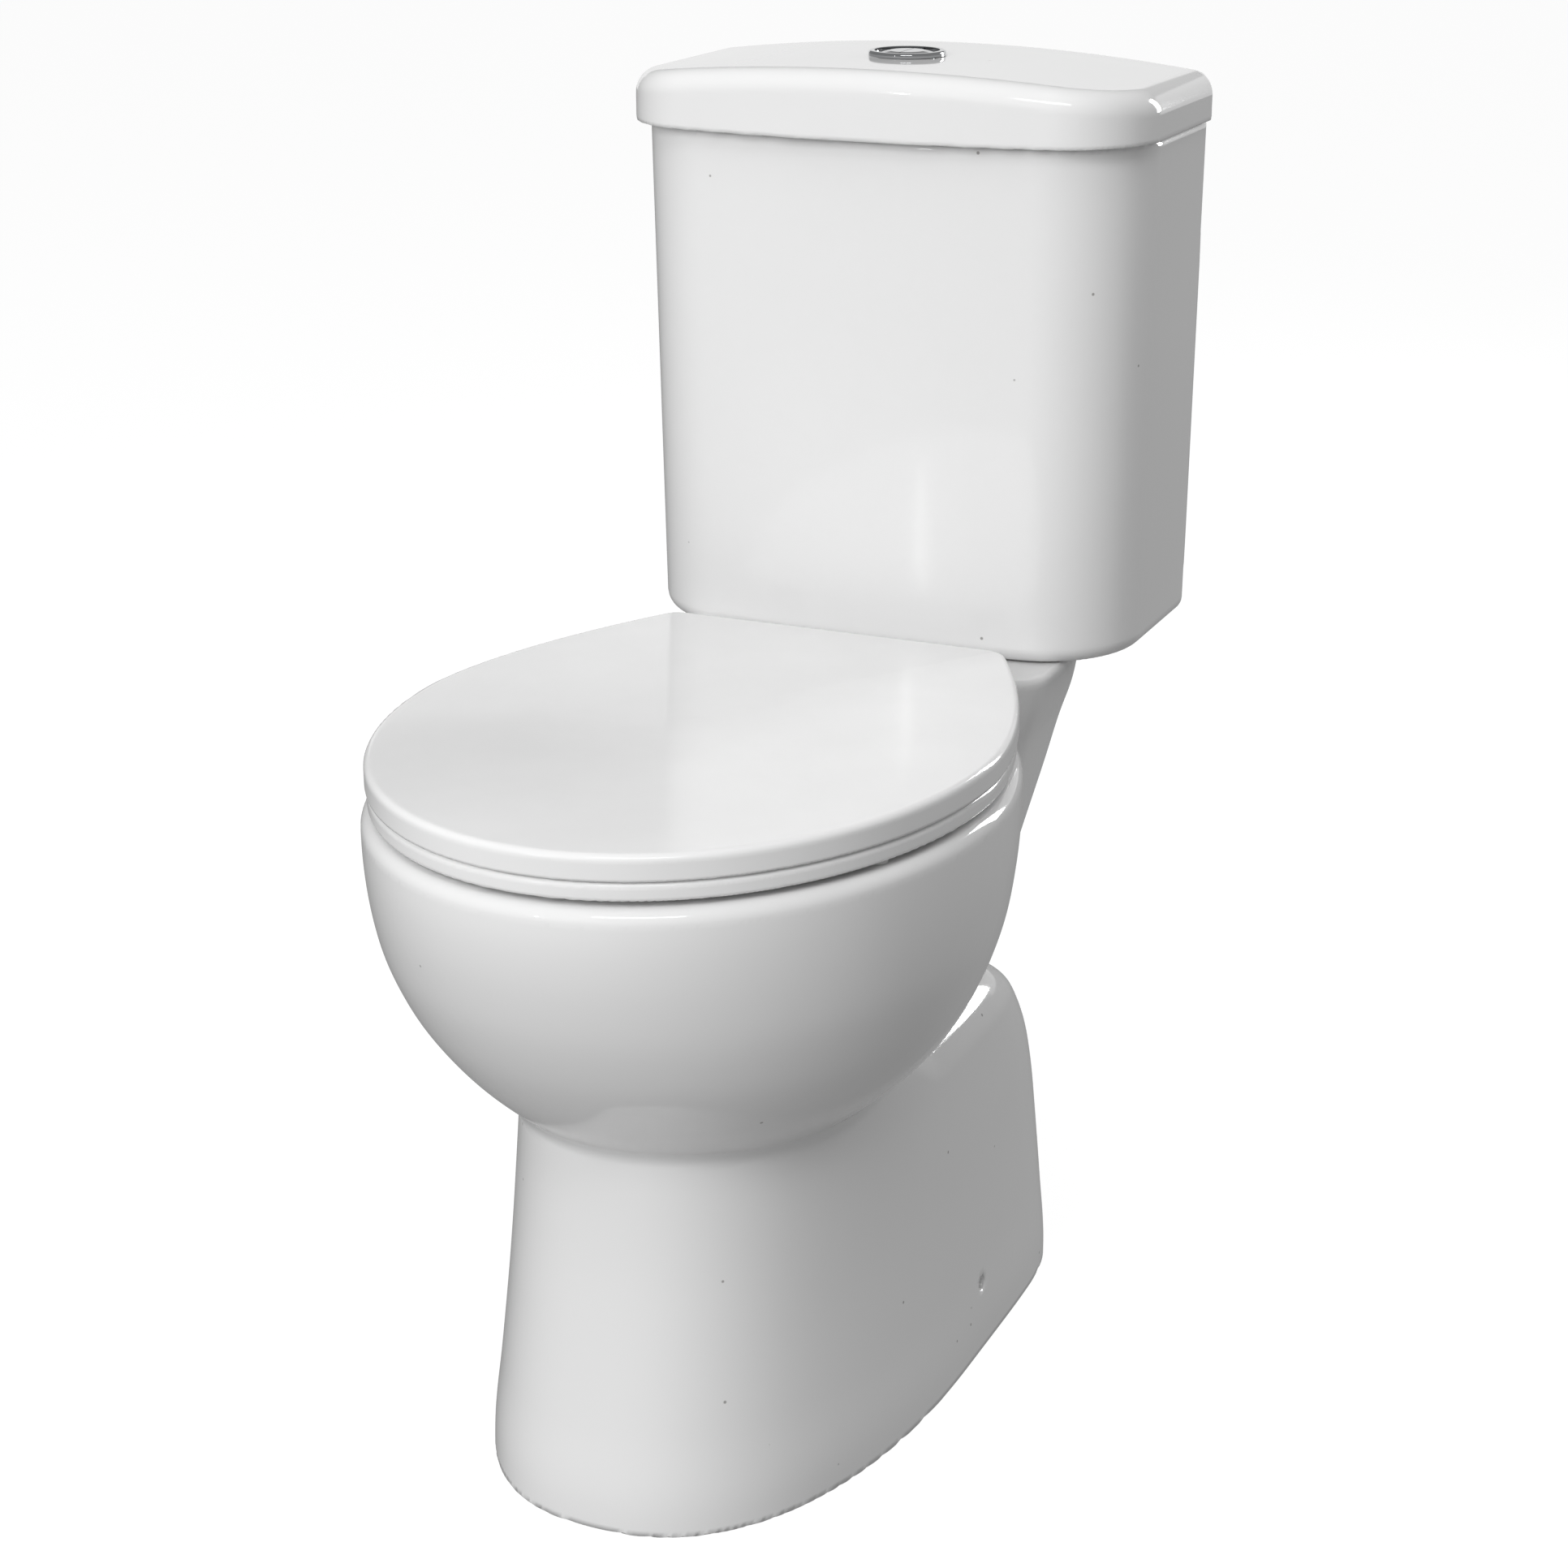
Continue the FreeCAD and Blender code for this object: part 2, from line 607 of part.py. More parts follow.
def hinge_pin(x):
    return Part.makeCylinder(PIN_R, PIN_LENGTH, at(x - PIN_LENGTH / 2, HINGE_D, HINGE_Z), RIGHT)


def hinge_fixings():
    bolts, washers, nuts = [], [], []
    for x in (FIXING_X, -FIXING_X):
        bolts.append(rod(BOLT_R, 45.0, x, HINGE_D, 378.0))
        washers.append(tube(WASHER_R, BOLT_R + 0.2, 2.0, x, HINGE_D, WASHER_Z))
        nuts.append(hex_nut(15.0, BOLT_R, 8.0, x, HINGE_D, WASHER_Z - 8.2))
    save("hinge_bolts", *bolts)
    save("hinge_washers", *washers)
    save("hinge_nuts", *nuts)


def make_seat_fittings():
    ring_pads = []
    pad_height = RING_Z[0] - RIM_Z - FIT
    for x, d in mirrored(RING_PADS):
        ring_pads.append(rod(6.0, pad_height, x, d, RIM_Z + FIT).fuse(rod(2.0, 3.0, x, d, RING_Z[0])))
    save("seat_ring_buffers", *ring_pads)
    cover_pads = []
    pad_height = COVER_Z[1] - COVER_SHELL - RING_Z[1] - FIT
    for x, d in mirrored(COVER_PADS):
        cover_pads.append(rod(5.0, pad_height, x, d, RING_Z[1] + FIT))
    save("cover_buffers", *cover_pads)
    save("hinge_post_right", hinge_post(FIXING_X))
    save("hinge_post_left", hinge_post(-FIXING_X))
    save("hinge_pins", hinge_pin(FIXING_X), hinge_pin(-FIXING_X))
    hinge_fixings()


# ---------------------------------------------------------------- flush buttons
def make_buttons():
    flange = rod(BEZEL_R, BEZEL_TOP_Z - PLATE_Z, 0, BUTTON_D, PLATE_Z)
    rounded = [e for e in flange.Edges if e.BoundBox.ZMin > PLATE_Z + 2]
    flange = flange.makeFillet(1.6, rounded)
    outer, inner, length = SLEEVE
    sleeve = rod(outer, length, 0, BUTTON_D, PLATE_Z - length)
    bezel = join(flange, sleeve).cut(rod(inner, 60.0, 0, BUTTON_D, PLATE_Z - 50.0))
    bezel = bezel.cut(rod(BUTTON_R, 4.0, 0, BUTTON_D, PLATE_Z + 1.2))
    floor = rod(inner + 0.1, 2.0, 0, BUTTON_D, BEZEL_FLOOR_Z)
    for x in (ROD_X, -ROD_X):
        floor = floor.cut(rod(ROD_R + 0.6, 6.0, x, BUTTON_D, BEZEL_FLOOR_Z - 2))
    save("button_bezel", join(bezel, floor))
    cap_z = BEZEL_TOP_Z - CAP_HEIGHT
    rod_z = LEVER_Z + 4.3
    spring_r, wire_r, turns = SPRING
    dome = Part.makeSphere(CAP_DOME_R, at(0, BUTTON_D, BEZEL_TOP_Z + 0.6 - CAP_DOME_R))
    for name, side in (("full", 1), ("half", -1)):
        cap = rod(CAP_R, 9.0, 0, BUTTON_D, cap_z).common(dome)
        save(name + "_flush_button", cap.common(side_block(side, HALF_GAP, 40, 0, 200, 700, 900)))
        x = side * ROD_X
        save(name + "_flush_rod", rod(ROD_R, cap_z - rod_z, x, BUTTON_D, rod_z))
        save(name + "_flush_spring", coil(spring_r, wire_r, BEZEL_FLOOR_Z + 2, cap_z, x, BUTTON_D, turns))
    save("button_nut", hex_nut(50.0, outer, 7.0, 0, BUTTON_D, LID_HOLLOW_Z - 9.0))
    save("button_gasket", tube(24.0, outer + 0.1, 2.0, 0, BUTTON_D, LID_HOLLOW_Z - 2.0))


def coil(radius, wire_r, z0, z1, x, d, turns):
    """A stack of rings joined as one light spring."""
    low, high = z0 + wire_r + 0.1, z1 - wire_r - 0.1
    rings = []
    for k in range(turns + 1):
        z = low + (high - low) * k / turns
        rings.append(Part.makeTorus(radius, wire_r, at(x, d, z)))
    posts = [rod(wire_r * 0.8, high - low, x, d + s * radius, low) for s in (1, -1)]
    return rings[0].fuse(rings[1:] + posts)


# ---------------------------------------------------------------- flush valve
def make_valve_body(floor_z):
    threaded = rod(VALVE_THREAD_R, floor_z + 6.0 - VALVE_LOW_Z, 0, VALVE_D, VALVE_LOW_Z)
    collar = rod(34.0, 20.0, 0, VALVE_D, floor_z + 8.0)
    body = join(rod(40.0, 5.0, 0, VALVE_D, floor_z + 3.0), threaded, collar)
    save("flush_valve_body", body.cut(rod(VALVE_BORE_R, 90.0, 0, VALVE_D, VALVE_LOW_Z - 6)))
    save("flush_valve_gasket", tube(44.0, VALVE_THREAD_R + 0.2, 3.0, 0, VALVE_D, floor_z))
    save("flush_valve_nut", tube(41.0, VALVE_THREAD_R, 15.0, 0, VALVE_D, 405.0))
    save("coupling_seal", tube(49.6, 41.2, 20.5, 0, VALVE_D, 401.0))


def make_valve_tower(floor_z):
    top_z = LEVER_Z - 14.0
    base_z = floor_z + 8.0
    tower = tube(TOWER_RING_R, 24.0, 5.0, 0, VALVE_D, top_z)
    for k in range(4):
        a = math.radians(45 + 90 * k)
        x, d = TOWER_POST_SPREAD * math.cos(a), VALVE_D + TOWER_POST_SPREAD * math.sin(a)
        tower = tower.fuse(rod(TOWER_POST_R, top_z - base_z + 2, x, d, base_z))
    for middle in (ROD_X, -ROD_X):
        for side in (1, -1):
            ear = sorted((middle + side * EAR[0], middle + side * EAR[1]))
            tower = tower.fuse(block(*ear, LEVER_PIVOT_D - 4, LEVER_PIVOT_D + 4, top_z + 4, LEVER_Z + 5))
    pin_bore = Part.makeCylinder(LEVER_PIN_R, 40, at(-20, LEVER_PIVOT_D, LEVER_Z), RIGHT)
    save("flush_valve_tower", tower.cut(pin_bore).removeSplitter())
    save("lever_pins", Part.makeCylinder(LEVER_PIN_R, 30, at(-15, LEVER_PIVOT_D, LEVER_Z), RIGHT))


def make_levers():
    for name, x in (("full", ROD_X), ("half", -ROD_X)):
        bar = block(x - 3.0, x + 3.0, LEVER_PIVOT_D - 3.5, BUTTON_D + 8, LEVER_Z - 3.5, LEVER_Z + 4.0)
        bore = Part.makeCylinder(LEVER_PIN_R + RUNNING, 20, at(x - 10, LEVER_PIVOT_D, LEVER_Z), RIGHT)
        save(name + "_flush_lever", bar.cut(bore))


def make_valve_core(seat_z):
    plate_z = seat_z + FIT + 3.0
    core = join(rod(OVERFLOW_R, 170.0, 0, VALVE_D, plate_z), rod(SEAL_R - 1, 5.0, 0, VALVE_D, plate_z))
    save("overflow_tube", core.cut(rod(OVERFLOW_R - 2.5, 200.0, 0, VALVE_D, seat_z)))
    save("flush_valve_seal", tube(SEAL_R, 12.0, 3.0, 0, VALVE_D, seat_z + FIT))
    save("half_flush_float", tube(22.0, OVERFLOW_R + 0.2, 42.0, 0, VALVE_D, seat_z + 60.0))


def make_flush_valve():
    floor_z = TANK_Z + TANK_FLOOR
    make_valve_body(floor_z)
    make_valve_tower(floor_z)
    make_levers()
    make_valve_core(floor_z + SEAL_HEIGHT)


# ---------------------------------------------------------------- cistern fixings
def make_cistern_fixings():
    floor_z = TANK_Z + TANK_FLOOR
    bolts, seals, washers, nuts = [], [], [], []
    for x in (FIXING_X, -FIXING_X):
        head = rod(11.0, 5.0, x, VALVE_D, floor_z + 3.0)
        bolts.append(join(head, rod(COUPLING_R, 64.0, x, VALVE_D, floor_z - 59.0)))
        seals.append(tube(13.0, COUPLING_R, 3.0, x, VALVE_D, floor_z))
        washers.append(tube(WASHER_R, COUPLING_R + 0.2, 2.0, x, VALVE_D, WASHER_Z))
        wings = block(x - 15, x + 15, VALVE_D - 2, VALVE_D + 2, WASHER_Z - 13, WASHER_Z - 6)
        nut = wings.fuse(rod(7.5, 9.0, x, VALVE_D, WASHER_Z - 9.2))
        nuts.append(nut.cut(rod(COUPLING_R, 30.0, x, VALVE_D, WASHER_Z - 19)))
    save("coupling_bolts", *bolts)
    save("coupling_seal_washers", *seals)
    save("coupling_washers", *washers)
    save("coupling_wing_nuts", *nuts)


# ---------------------------------------------------------------- fill valve
def make_fill_valve():
    floor_z = TANK_Z + TANK_FLOOR
    top_z = floor_z + FILL_STEM_HEIGHT
    thread_r, thread_length = FILL_THREAD
    tail = rod(FILL_TAIL_R, 54.0 - thread_length, FILL_X, FILL_D, FILL_LOW_Z + thread_length)
    tail = tail.fuse(rod(thread_r, thread_length, FILL_X, FILL_D, FILL_LOW_Z))
    flange = rod(16.0, 4.0, FILL_X, FILL_D, floor_z + 3.0)
    stem = rod(FILL_STEM_R, FILL_STEM_HEIGHT - 6.0, FILL_X, FILL_D, floor_z + 6.0)
    save("fill_valve_body", join(tail, flange, stem).cut(rod(4.5, 320.0, FILL_X, FILL_D, FILL_LOW_Z - 1)))
    save("fill_valve_washer", tube(17.0, FILL_TAIL_R + 0.1, 3.0, FILL_X, FILL_D, floor_z))
    save("fill_valve_nut", hex_nut(27.0, FILL_TAIL_R, 9.0, FILL_X, FILL_D, TANK_Z - 9.0))
    head = rod(14.0, 22.0, FILL_X, FILL_D, top_z)
    for d0 in (FILL_D - EAR[1], FILL_D + EAR[0]):
        head = head.fuse(block(FILL_X + 10, ARM_PIVOT_X + 4, d0, d0 + 2.0, ARM_Z - 5, ARM_Z + 5))
    slot = block(FILL_X + 9, ARM_PIVOT_X + 6, FILL_D - EAR[0], FILL_D + EAR[0], top_z - 1, top_z + 30)
    pivot = at(ARM_PIVOT_X, FILL_D - 10, ARM_Z)
    forward = BACK * -1
    head = head.cut(slot).cut(Part.makeCylinder(ARM_PIN_R, 20, pivot, forward))
    save("fill_valve_cap", head.removeSplitter())
    pin_start = at(ARM_PIVOT_X, FILL_D - 5.5, ARM_Z)
    save("fill_valve_pin", Part.makeCylinder(ARM_PIN_R, 11, pin_start, forward))
    arm = block(ARM_PIVOT_X - 3, FLOAT_X, FILL_D - 3, FILL_D + 3, ARM_Z - 2.5, ARM_Z + 2.5)
    arm = arm.cut(Part.makeCylinder(ARM_PIN_R + RUNNING, 20, pivot, forward))
    arm = arm.rotate(at(ARM_PIVOT_X, 0, ARM_Z), BACK, ARM_REST_DEG)
    save("fill_valve_arm", arm)
    float_top = ARM_Z - 30.0
    cup = rod(FLOAT_R, FLOAT_HEIGHT, FLOAT_X, FILL_D, float_top - FLOAT_HEIGHT)
    cup = cup.cut(rod(FLOAT_R - 2.5, FLOAT_HEIGHT - 4, FLOAT_X, FILL_D, float_top - FLOAT_HEIGHT - 1))
    save("fill_valve_float", join(cup, rod(2.5, 9.0, FLOAT_X, FILL_D, float_top)))


# ---------------------------------------------------------------- floor fixings
def make_floor_fixings():
    d, z = SIDE_HOLE
    brackets, screws = [], []
    for side in (1, -1):
        bracket = side_block(side, *BRACKET_X, d - BRACKET_HALF, d + BRACKET_HALF, 0, z + BRACKET_HALF)
        bracket = bracket.cut(rod(3.0, 80, side * BRACKET_SCREW_X, d, -1))
        inner_end = at(side * BRACKET_SCREW_X, d, z)
        brackets.append(bracket.cut(Part.makeCylinder(SCREW_R + 0.1, 40, inner_end, RIGHT * side)))
        shank = Part.makeCylinder(SCREW_R, 22, at(side * (BRACKET_SCREW_X + 5), d, z), RIGHT * side)
        head = Part.makeCylinder(SCREW_HEAD_R, 3, at(side * 119.0, d, z), RIGHT * side)
        screws.append(join(shank, head))
    save("floor_brackets", *brackets)
    save("side_fixing_screws", *screws)


save("pan", make_pan())
save("cistern_tank", make_tank())
save("cistern_lid", make_lid())
save("seat_ring", make_ring())
save("seat_cover", make_cover())
make_seat_fittings()
make_buttons()
make_flush_valve()
make_cistern_fixings()
make_fill_valve()
make_floor_fixings()
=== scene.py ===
import json
import math

import bpy
import numpy as np
from mathutils import Matrix, Vector


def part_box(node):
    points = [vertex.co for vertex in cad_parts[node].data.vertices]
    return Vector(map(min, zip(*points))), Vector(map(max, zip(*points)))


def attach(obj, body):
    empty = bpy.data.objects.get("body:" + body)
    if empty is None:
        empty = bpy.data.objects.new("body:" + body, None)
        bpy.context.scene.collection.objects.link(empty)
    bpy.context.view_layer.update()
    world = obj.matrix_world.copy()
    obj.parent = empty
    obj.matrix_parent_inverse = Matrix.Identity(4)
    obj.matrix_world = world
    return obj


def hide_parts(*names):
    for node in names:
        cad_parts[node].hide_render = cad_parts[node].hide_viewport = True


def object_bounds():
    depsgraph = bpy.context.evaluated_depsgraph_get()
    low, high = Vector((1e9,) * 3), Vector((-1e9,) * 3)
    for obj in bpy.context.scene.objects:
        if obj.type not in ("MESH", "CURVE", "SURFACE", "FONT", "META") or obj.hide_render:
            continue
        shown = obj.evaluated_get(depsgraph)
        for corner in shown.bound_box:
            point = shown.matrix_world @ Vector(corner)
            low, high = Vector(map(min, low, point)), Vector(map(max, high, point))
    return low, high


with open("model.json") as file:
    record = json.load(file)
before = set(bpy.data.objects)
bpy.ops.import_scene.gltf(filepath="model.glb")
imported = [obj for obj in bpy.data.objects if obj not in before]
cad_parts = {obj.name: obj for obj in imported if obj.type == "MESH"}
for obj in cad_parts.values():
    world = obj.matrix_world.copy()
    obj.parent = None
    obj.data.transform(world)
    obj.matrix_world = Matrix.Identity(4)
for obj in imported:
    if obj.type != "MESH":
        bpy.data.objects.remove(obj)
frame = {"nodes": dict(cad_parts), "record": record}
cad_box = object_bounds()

# Close coupled toilet.  The ceramic and the seat are described as distance fields, in millimetres,
# with x to the side, d forward from the wall and z up.  A field is negative inside the material, and
# each one is turned into a smooth mesh that replaces the plain CAD solid of the same piece.
MM = 0.001
WALL_Y = cad_box[1][1] / MM           # the wall's plane in the row frame, millimetres


# ---------------------------------------------------------------- places read from the frame
def node_box(name):
    """A CAD node's corners as (x, d, z) in millimetres, lowest first."""
    low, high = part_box(name)
    return (
        (low.x / MM, WALL_Y - high.y / MM, low.z / MM),
        (high.x / MM, WALL_Y - low.y / MM, high.z / MM),
    )


PAN_LOW, PAN_HIGH = node_box("pan")
TANK_LOW, TANK_HIGH = node_box("cistern_tank")
LID_LOW, LID_HIGH = node_box("cistern_lid")
RING_LOW, RING_HIGH = node_box("seat_ring")
COVER_LOW, COVER_HIGH = node_box("seat_cover")
BEZEL_LOW, BEZEL_HIGH = node_box("button_bezel")
PIN_LOW, PIN_HIGH = node_box("hinge_pins")
POST_LOW, POST_HIGH = node_box("hinge_post_right")
VALVE_LOW, VALVE_HIGH = node_box("flush_valve_body")
FILL_LOW, FILL_HIGH = node_box("fill_valve_nut")

DECK_Z = PAN_HIGH[2]
RIM_Z = POST_LOW[2]
HINGE_D = (PIN_LOW[1] + PIN_HIGH[1]) / 2
HINGE_Z = (PIN_LOW[2] + PIN_HIGH[2]) / 2
FIXING_X = (POST_LOW[0] + POST_HIGH[0]) / 2
VALVE_D = (VALVE_LOW[1] + VALVE_HIGH[1]) / 2
BUTTON_D = (BEZEL_LOW[1] + BEZEL_HIGH[1]) / 2
FILL_X = (FILL_LOW[0] + FILL_HIGH[0]) / 2
FILL_D = (FILL_LOW[1] + FILL_HIGH[1]) / 2


# ---------------------------------------------------------------- distance fields
def both(a, b, r):
    """Intersection of two fields with its edge rounded to a radius."""
    u = np.maximum(a + r, 0)
    v = np.maximum(b + r, 0)
    return np.minimum(np.maximum(a, b), -r) + np.hypot(u, v)


def either(a, b, r):
    """Union of two fields with a fillet of a given radius."""
    return -both(-a, -b, r)


def less(a, b, r):
    """The first field with the second cut away, its edge rounded."""
    return both(a, -b, r)


def slab(value, low, high):
    """The layer between two values of one coordinate."""
    return np.maximum(low - value, value - high)


def rod(a, b, radius):
    """An endless cylinder, from the two coordinates across it."""
    return np.hypot(a, b) - radius


def smooth_rows(rows, spread=5.0):
    """Dense copies of a station table, with the corners between its rows softened."""
    table = np.array(rows, float)
    z = table[:, 0]
    dense_z = np.arange(z[0], z[-1] + 0.5, 1.0)
    columns = []
    for k in range(1, table.shape[1]):
        dense = monotone(z, table[:, k], dense_z)
        reach = int(3 * spread)
        padded = np.pad(dense, reach, mode="reflect", reflect_type="odd")
        kernel = np.exp(-0.5 * (np.arange(-reach, reach + 1) / spread) ** 2)
        columns.append(np.convolve(padded, kernel / kernel.sum(), mode="valid"))
    return dense_z, columns


def monotone(x, y, q):
    """Cubic through points that never overshoots between them."""
    h = np.diff(x)
    slope = np.diff(y) / h
    m = np.zeros(len(x))
    m[0], m[-1] = slope[0], slope[-1]
    for i in range(1, len(x) - 1):
        if slope[i - 1] * slope[i] > 0:
            w1 = 2 * h[i] + h[i - 1]
            w2 = h[i] + 2 * h[i - 1]
            m[i] = (w1 + w2) / (w1 / slope[i - 1] + w2 / slope[i])
    i = np.clip(np.searchsorted(x, q, side="right") - 1, 0, len(x) - 2)
    t = (q - x[i]) / h[i]
    blend_a = (2 * t ** 3 - 3 * t ** 2 + 1) * y[i] + (t ** 3 - 2 * t ** 2 + t) * h[i] * m[i]
    return blend_a + (-2 * t ** 3 + 3 * t ** 2) * y[i + 1] + (t ** 3 - t ** 2) * h[i] * m[i + 1]


def egg(rows, powers, spread=5.0):
    """A field for a stack of egg-like outlines, one for each row of a station table."""
    z_rows, columns = smooth_rows(rows, spread)

    def field(x, d, z):
        half, widest, front, rear = [np.interp(z, z_rows, c) for c in columns]
        ahead = d > widest
        length = np.where(ahead, front - widest, widest - rear)
        n = np.where(ahead, powers[0], powers[1])
        u = np.abs(x) / half + 1e-6
        v = np.abs(d - widest) / length + 1e-6
        r = (u ** n + v ** n) ** (1 / n)
        slope = np.hypot((u / r) ** (n - 1) / half, (v / r) ** (n - 1) / length)
        return (r - 1) / slope

    return field


# ---------------------------------------------------------------- field to mesh
PAN_CELL, TANK_CELL, LID_CELL, SEAT_CELL = 3.6, 3.4, 2.6, 2.0      # mesh sizes, millimetres
CREASE = 0.965          # mean normal shorter than this: the point sits on an edge, and stays there
FLATNESS = 0.02         # pull of each point towards the middle of its cell's crossings
EVENING = 0.6           # share of the way to its neighbours' middle that a smooth point moves
LONGEST_PULL = 2.0      # longest move back onto the surface, millimetres
LEAST_SLOPE = 0.2       # keeps that move finite where a field is flat
OFF_GRID = 2.37         # cells of margin below, a fraction that keeps flat faces off the grid's planes
MARGIN = 2.3            # cells of margin above


def gradient(field, p, h=0.15):
    parts = []
    for k in range(3):
        step = np.zeros(3)
        step[k] = h
        parts.append((field(*(p + step).T) - field(*(p - step).T)) / (2 * h))
    return np.stack(parts, 1)


def unit(v):
    return v / np.maximum(np.linalg.norm(v, axis=1), 1e-9)[:, None]


def crossings(values, axes, step):
    """Every grid edge that crosses the surface: its crossing point and the four cells around it."""
    inside = values < 0
    found = []
    for axis in range(3):
        p, q = [k for k in range(3) if k != axis]
        edge = np.argwhere(np.diff(inside.astype(np.int8), axis=axis) != 0)
        room = np.array(values.shape) - 1
        keep = (edge[:, p] > 0) & (edge[:, q] > 0) & (edge[:, p] < room[p]) & (edge[:, q] < room[q])
        edge = edge[keep]
        after = edge.copy()
        after[:, axis] += 1
        va, vb = values[tuple(edge.T)], values[tuple(after.T)]
        point = edge.astype(float)
        point[:, axis] += va / (va - vb)
        point = point * step + np.array([a[0] for a in axes])
        cells = []
        for dp, dq in ((0, 0), (1, 0), (1, 1), (0, 1)):
            cell = edge.copy()
            cell[:, p] -= dp
            cell[:, q] -= dq
            cells.append(np.ravel_multi_index(tuple(cell.T), tuple(room)))
        cells = np.stack(cells, 1)
        flip = ~(inside[tuple(edge.T)] ^ (axis == 1))
        cells[flip] = cells[flip][:, ::-1]
        found.append((point, cells))
    return np.concatenate([f[0] for f in found]), np.concatenate([f[1] for f in found])


def surface(field, low, high, step):
    """Dual contouring: one point per crossed cell, drawn to where the surface's tangent planes meet."""
    axes = [np.arange(a, b + step, step) for a, b in zip(low, high)]
    values = field(*np.meshgrid(*axes, indexing="ij", sparse=True))
    hits, cells = crossings(values, axes, step)
    normals = unit(gradient(field, hits))
    used, quads = np.unique(cells, return_inverse=True)
    quads = quads.reshape(cells.shape)
    size = len(used)
    owner = quads.ravel()
    spread_hits = np.repeat(hits, 4, axis=0)
    spread_normals = np.repeat(normals, 4, axis=0)
    count = np.bincount(owner, minlength=size).astype(float)

    def gather(values):
        return np.bincount(owner, weights=values, minlength=size)

    middle = np.stack([gather(spread_hits[:, k]) for k in range(3)], 1) / count[:, None]
    mean = np.stack([gather(spread_normals[:, k]) for k in range(3)], 1) / count[:, None]
    offset = (spread_normals * (spread_hits - middle[owner])).sum(1)
    matrix = np.zeros((size, 3, 3))
    for i in range(3):
        for j in range(3):
            matrix[:, i, j] = gather(spread_normals[:, i] * spread_normals[:, j])
        matrix[:, i, i] += FLATNESS * count
    right = np.stack([gather(spread_normals[:, k] * offset) for k in range(3)], 1)
    move = np.linalg.solve(matrix, right[..., None])[..., 0]
    points = middle + np.clip(move, -step, step)
    sharp = np.linalg.norm(mean, axis=1) < CREASE
    return points, quads, unit(mean), sharp


def settle(field, points, quads, sharp, rounds=3):
    """Even out the smooth points along the surface and pull them back onto it."""
    pairs = np.concatenate([quads[:, [k, (k + 1) % 4]] for k in range(4)])
    both_ways = np.concatenate([pairs, pairs[:, ::-1]])
    size = len(points)
    count = np.bincount(both_ways[:, 0], minlength=size)
    smooth = ~sharp
    for turn in range(rounds + 1):
        if turn < rounds:
            near = points[both_ways[:, 1]]
            total = [np.bincount(both_ways[:, 0], weights=near[:, k], minlength=size) for k in range(3)]
            middle = np.stack(total, 1) / count[:, None]
            points[smooth] += EVENING * (middle - points)[smooth]
        slope = gradient(field, points[smooth])
        norm = np.maximum((slope ** 2).sum(1), LEAST_SLOPE)
        move = slope * (field(*points[smooth].T) / norm)[:, None]
        length = np.linalg.norm(move, axis=1)
        points[smooth] -= move * np.minimum(1, LONGEST_PULL / np.maximum(length, 1e-9))[:, None]
    return points


def solid(name, field, low, high, step, rounds=3):
    """A smooth mesh object of a field, in the row frame."""
    floor, ceiling = low[2], high[2]
    half = math.ceil((high[0] + step) / step) * step
    low = [-half - 0.5 * step, low[1] - OFF_GRID * step, low[2] - OFF_GRID * step]
    high = [half + 0.5 * step, high[1] + MARGIN * step, high[2] + MARGIN * step]
    points, quads, normals, sharp = surface(field, low, high, step)
    points = settle(field, points, quads, sharp, rounds)
    points[:, 2] = np.clip(points[:, 2], floor, ceiling)
    smooth = ~sharp
    normals[smooth] = unit(gradient(field, points[smooth]))
    flip = np.array([1, -1, 1])
    place = np.array([0, WALL_Y, 0])
    mesh = bpy.data.meshes.new(name)
    mesh.from_pydata(((points * flip + place) * MM).tolist(), [], quads[:, ::-1].tolist())
    mesh.polygons.foreach_set("use_smooth", [True] * len(mesh.polygons))
    mesh.normals_split_custom_set_from_vertices((normals * flip).tolist())
    piece = bpy.data.objects.new(name, mesh)
    bpy.context.scene.collection.objects.link(piece)
    return piece


# ---------------------------------------------------------------- pan
# Rows of height, half width, depth of the widest place, front depth and rear depth.
BOWL = [
    (150, 12, 362, 390, 330), (180, 45, 372, 470, 310), (195, 70, 382, 496, 285),
    (210, 92, 389, 515, 268), (230, 115, 395, 536, 248), (250, 136.5, 400, 558, 230),
    (275, 154.5, 403, 580, 212), (300, 167, 405, 598, 197), (340, 178.5, 405, 618, 183),
    (380, 182.2, 403, 629, 176), (398, 182.5, 403, 631, 174), (430, 182, 403, 630, 174),
]
FOOT = [
    (-10, 135, 301, 563, 106), (12, 134.5, 301, 562, 104), (60, 130, 301, 554, 104),
    (120, 124.5, 301, 545, 106), (160, 121.5, 301, 540, 114), (200, 118, 302, 537, 138),
    (225, 115, 304, 536, 168), (240, 111, 308, 534, 192), (250, 104, 312, 528, 214),
    (257, 90, 318, 515, 240), (261, 60, 330, 480, 280), (264, 20, 340, 380, 300),
]
NECK = [
    (185, 44, 150, 198, 112), (220, 72, 142, 204, 92), (260, 88, 136, 204, 78), (300, 99, 134, 202, 62),
    (340, 110, 134, 200, 46), (380, 121, 136, 200, 34), (400, 128, 138, 200, 28),
    (440, 134, 138, 200, 26),
]
BASIN = [
    (140, 30, 340, 370, 310), (150, 34, 343, 376, 310), (185, 46, 357, 404, 310),
    (215, 72, 378, 470, 302), (250, 110, 395, 534, 272), (290, 139, 400, 574, 252),
    (330, 155, 403, 598, 244), (356, 160, 403, 604, 242), (374, 143, 402, 592, 244),
    (440, 141, 402, 592, 240),
]
SUMP_SKIN = [
    (118, 40, 337, 382, 298), (150, 48, 343, 392, 296), (185, 60, 357, 420, 296),
    (215, 86, 378, 486, 288), (250, 124, 395, 550, 258), (270, 132, 398, 560, 250),
]
